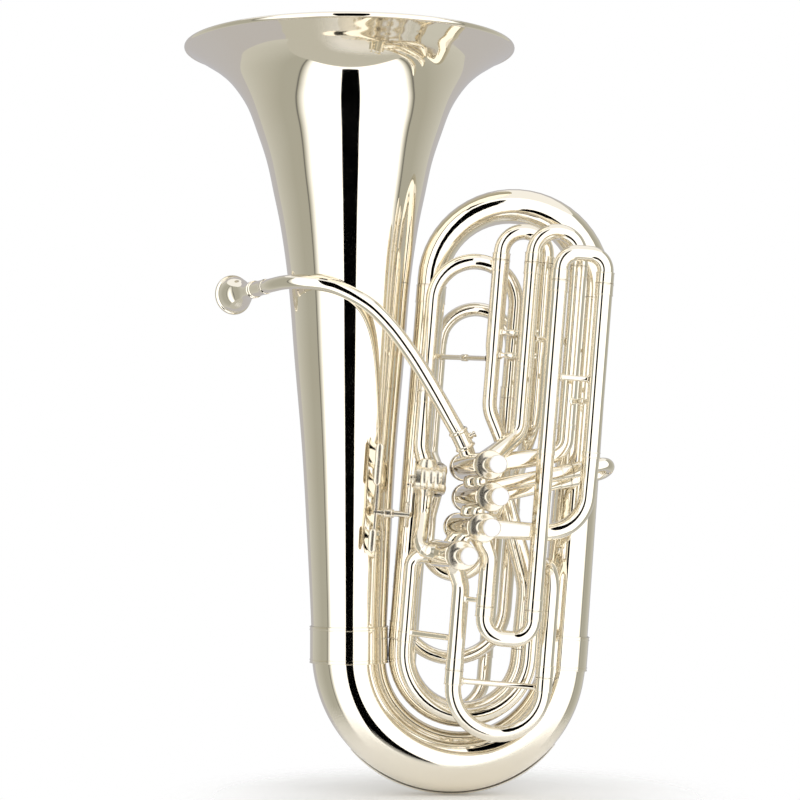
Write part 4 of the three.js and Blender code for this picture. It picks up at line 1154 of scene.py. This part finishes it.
def receiver():
    r = 0.0086
    profile = [(0.0056, -0.036), (0.0076, -0.036), (0.0082, -0.0356), (0.0086, -0.0345), (0.0086, -0.033),
               (0.008, -0.0315), (r - 0.0004, -0.029), (r, -0.0105), (r + 0.0009, -0.0098),
               (r + 0.001, -0.0082), (r, -0.0074), (r, -0.0052), (r + 0.0009, -0.0046), (r + 0.001, -0.0006),
               (r + 0.0006, 0), (0.0069, 0), (0.0056, -0.03)]
    piece(Shape().turn(profile, RECEIVER_MOUTH, MOUTH_AXIS, 56), "mouthpiece_receiver_turned", "root", SILVER,
          "mouthpiece_receiver", sharp=28)


def mouthpiece():
    """Cup, throat and shank. The rim is rounded and the cup swells in one smooth curve."""
    outside = smooth_profile([(0.0049, -0.024), (0.0062, 0.001), (0.0068, 0.008), (0.0082, 0.0168),
                              (0.0118, 0.0245), (0.0162, 0.0312), (0.0189, 0.0376), (0.0198, 0.0436)], 6)
    rim = smooth_profile([(0.0204, 0.0445), (0.0221, 0.0458), (0.0224, 0.0478), (0.0212, 0.0497),
                          (0.0192, 0.0506), (0.0174, 0.0499), (0.0162, 0.0476)], 6)
    inside = smooth_profile([(0.0158, 0.0455), (0.0148, 0.039), (0.0108, 0.0295), (0.0042, 0.021),
                             (0.0034, 0.014), (0.0034, -0.024)], 6)
    piece(Shape().turn(outside + rim + inside, RECEIVER_MOUTH, MOUTH_AXIS, 96), "mouthpiece_turned",
          "mouthpiece", SILVER, "mouthpiece", sharp=40)


# ---- build --------------------------------------------------------------------------------
bell()
ferrule("bell_ferrule_sleeve", Vector((BELL_X, 0, 0)), UP, 0.0427, 0.0432, 0.145, 0.1856, "bell_ferrule", 128)
ferrule("bow_ferrule_sleeve", tubing(BRANCH.u, 0, 0), ALONG, 0.0274, 0.028, 0.147, 0.185,
        "bow_ferrule", 96)
bottom_bow()
branch("outer_branch", BRANCH, BRANCH.low, [(-0.026, -0.0002)], 0.0009, 64)
branch("inner_branch", MAIN, MAIN.low + GAP, [(0.0002, 0.02), (-0.02, -0.0002)], WALL, 48)
top_bow()
inner_bow()
casing_block()
for number in range(1, 5):
    valve_caps(number)
    piston_parts(number)
    piston_spring(number)
slides()
second_valve()
first_valve()
third_valve()
fourth_valve()
fifth_front()
fifth_lower()
fifth_rear()
tuning_riser()
rotor_tubes()
rotary_valve()
linkage()
finger_lever()
lever_bracket()
leadpipe()
receiver()
mouthpiece()


# ---- studio -------------------------------------------------------------------------------
AIM_Z = 0.312
CAMERA_X = -0.0615
CAMERA_AWAY = 2.523
STUDIO_LOW, STUDIO_HIGH = -6.0, 5.0

GLOW = 1.45
WHITE = (1.0, 1.0, 1.0)
PALE = (0.51, 0.515, 0.512)
SOFT = (0.42, 0.42, 0.39)
LOW = (0.375, 0.37, 0.335)
DULL = (0.3, 0.298, 0.262)
GREY = (0.36, 0.355, 0.37)
EDGE = (0.1, 0.1, 0.095)
BLACK = (0.0, 0.0, 0.0)


def emitter(name, *stops):
    """A light-giving surface whose colour follows each vertex's share across it."""
    nodes = Nodes(name)
    nodes.tree.nodes.remove(nodes.shader)
    shares = nodes.new("ShaderNodeAttribute")
    shares.attribute_name = "share"
    light = nodes.new("ShaderNodeEmission", Color=nodes.ramp(shares.outputs["Fac"], *stops), Strength=GLOW)
    nodes.tree.links.new(light.outputs[0], nodes.tree.nodes["Material Output"].inputs["Surface"])
    return nodes.material


def surround(name, verts, faces, shares, material):
    """A sheet that lights the tuba and shows in its reflections, and that the camera looks through."""
    made = sheet(name, verts, faces, material)
    made.data.attributes.new("share", "FLOAT", "POINT").data.foreach_set("value", shares)
    made.visible_camera = False
    made.visible_shadow = False


def curved_wall(name, radius, first, last, material, steps=48):
    """Part of an upright cylinder round the tuba, between two headings counted from the camera's side."""
    verts, shares = [], []
    for i in range(steps + 1):
        a = radians(first + (last - first) * i / steps)
        x, y = CAMERA_X + radius * sin(a), -radius * cos(a)
        verts += [(x, y, STUDIO_LOW), (x, y, STUDIO_HIGH)]
        shares += [i / steps] * 2
    faces = [(2 * i, 2 * i + 1, 2 * i + 3, 2 * i + 2) for i in range(steps)]
    surround(name, verts, faces, shares, material)


def low_disc(material, radius=3.9, steps=48, z=STUDIO_LOW - 0.05):
    """The studio's own floor, far below the tuba, paler in the middle."""
    verts, shares = [(CAMERA_X, 0, z)], [0.0]
    for i in range(steps):
        a = 2 * pi * i / steps
        verts.append((CAMERA_X + radius * cos(a), radius * sin(a), z))
        shares.append(1.0)
    faces = [(0, i + 1, (i + 1) % steps + 1) for i in range(steps)]
    surround("low_disc", verts, faces, shares, material)


def near_flag():
    """A narrow black flag in front of the valves: the dark line down the middle of every upright tube."""
    left, right, y, low, high = -0.2146, 0.033, -0.65, -0.17, 1.17
    verts = [(left, y, low), (right, y, low), (right, y, high), (left, y, high)]
    black = emitter("flag_black", (0.0, BLACK), (1.0, BLACK))
    surround("near_flag", verts, [(0, 1, 2, 3)], [0.0] * 4, black)


def studio():
    left = emitter("left_panel_light", (0.0, SOFT), (0.35, DULL), (0.486, DULL), (0.5, EDGE), (0.513, DULL),
                   (0.587, WHITE), (1.0, WHITE))
    right = emitter("right_panel_light", (0.0, WHITE), (0.506, WHITE), (0.561, DULL), (0.575, EDGE),
                    (0.588, DULL), (0.7, DULL), (1.0, SOFT))
    curved_wall("left_panel", 3.6, -134, 2, left)
    curved_wall("right_panel", 3.6, 2, 143, right)
    curved_wall("back_wall", 3.8, 141, 228, emitter("back_wall_light", (0.0, GREY), (1.0, GREY)), 24)
    low_disc(emitter("low_disc_light", (0.0, PALE), (0.35, LOW), (1.0, LOW)))
    near_flag()

    world = bpy.data.worlds.new("studio_world")
    bpy.context.scene.world = world
    world.use_nodes = True
    background = world.node_tree.nodes["Background"]
    background.inputs["Color"].default_value = (1, 1, 1, 1)
    background.inputs["Strength"].default_value = 1.0


def floor():
    """A pale floor that fades into the white surround away from the tuba."""
    nodes = Nodes("floor_paper")
    tree = nodes.tree
    nodes.set(Roughness=0.9, Specular_IOR_Level=0.0, Emission_Color=(1, 1, 1, 1), Emission_Strength=0.05)
    nodes.link(nodes.ramp(nodes.noise(30.0), (0.3, 0.985), (0.7, 0.995)), "Base Color")
    distance = nodes.new("ShaderNodeVectorMath", Vector=nodes.place)
    distance.operation = "LENGTH"
    fade = nodes.new("ShaderNodeMapRange", Value=distance.outputs["Value"], From_Min=0.12, From_Max=0.34)
    fade.interpolation_type = "SMOOTHSTEP"
    clear = nodes.new("ShaderNodeBsdfTransparent")
    mix = nodes.new("ShaderNodeMixShader", Fac=fade.outputs[0])
    tree.links.new(nodes.shader.outputs[0], mix.inputs[1])
    tree.links.new(clear.outputs[0], mix.inputs[2])
    tree.links.new(mix.outputs[0], tree.nodes["Material Output"].inputs["Surface"])
    size, drop = 1.2, 0.0005
    corners = [(x * size, y * size, -drop) for x, y in ((-1, -1), (1, -1), (1, 1), (-1, 1))]
    sheet("floor", corners, [(0, 1, 2, 3)], nodes.material)


def camera():
    data = bpy.data.cameras.new("camera")
    data.lens = 102.0
    data.sensor_width = 36.0
    made = linked("camera", data)
    made.location = (CAMERA_X, -CAMERA_AWAY, AIM_Z)
    made.rotation_euler = (pi / 2 + radians(2.82), 0, 0)
    bpy.context.scene.camera = made


studio()
floor()
camera()
bpy.context.scene.view_settings.view_transform = "Standard"
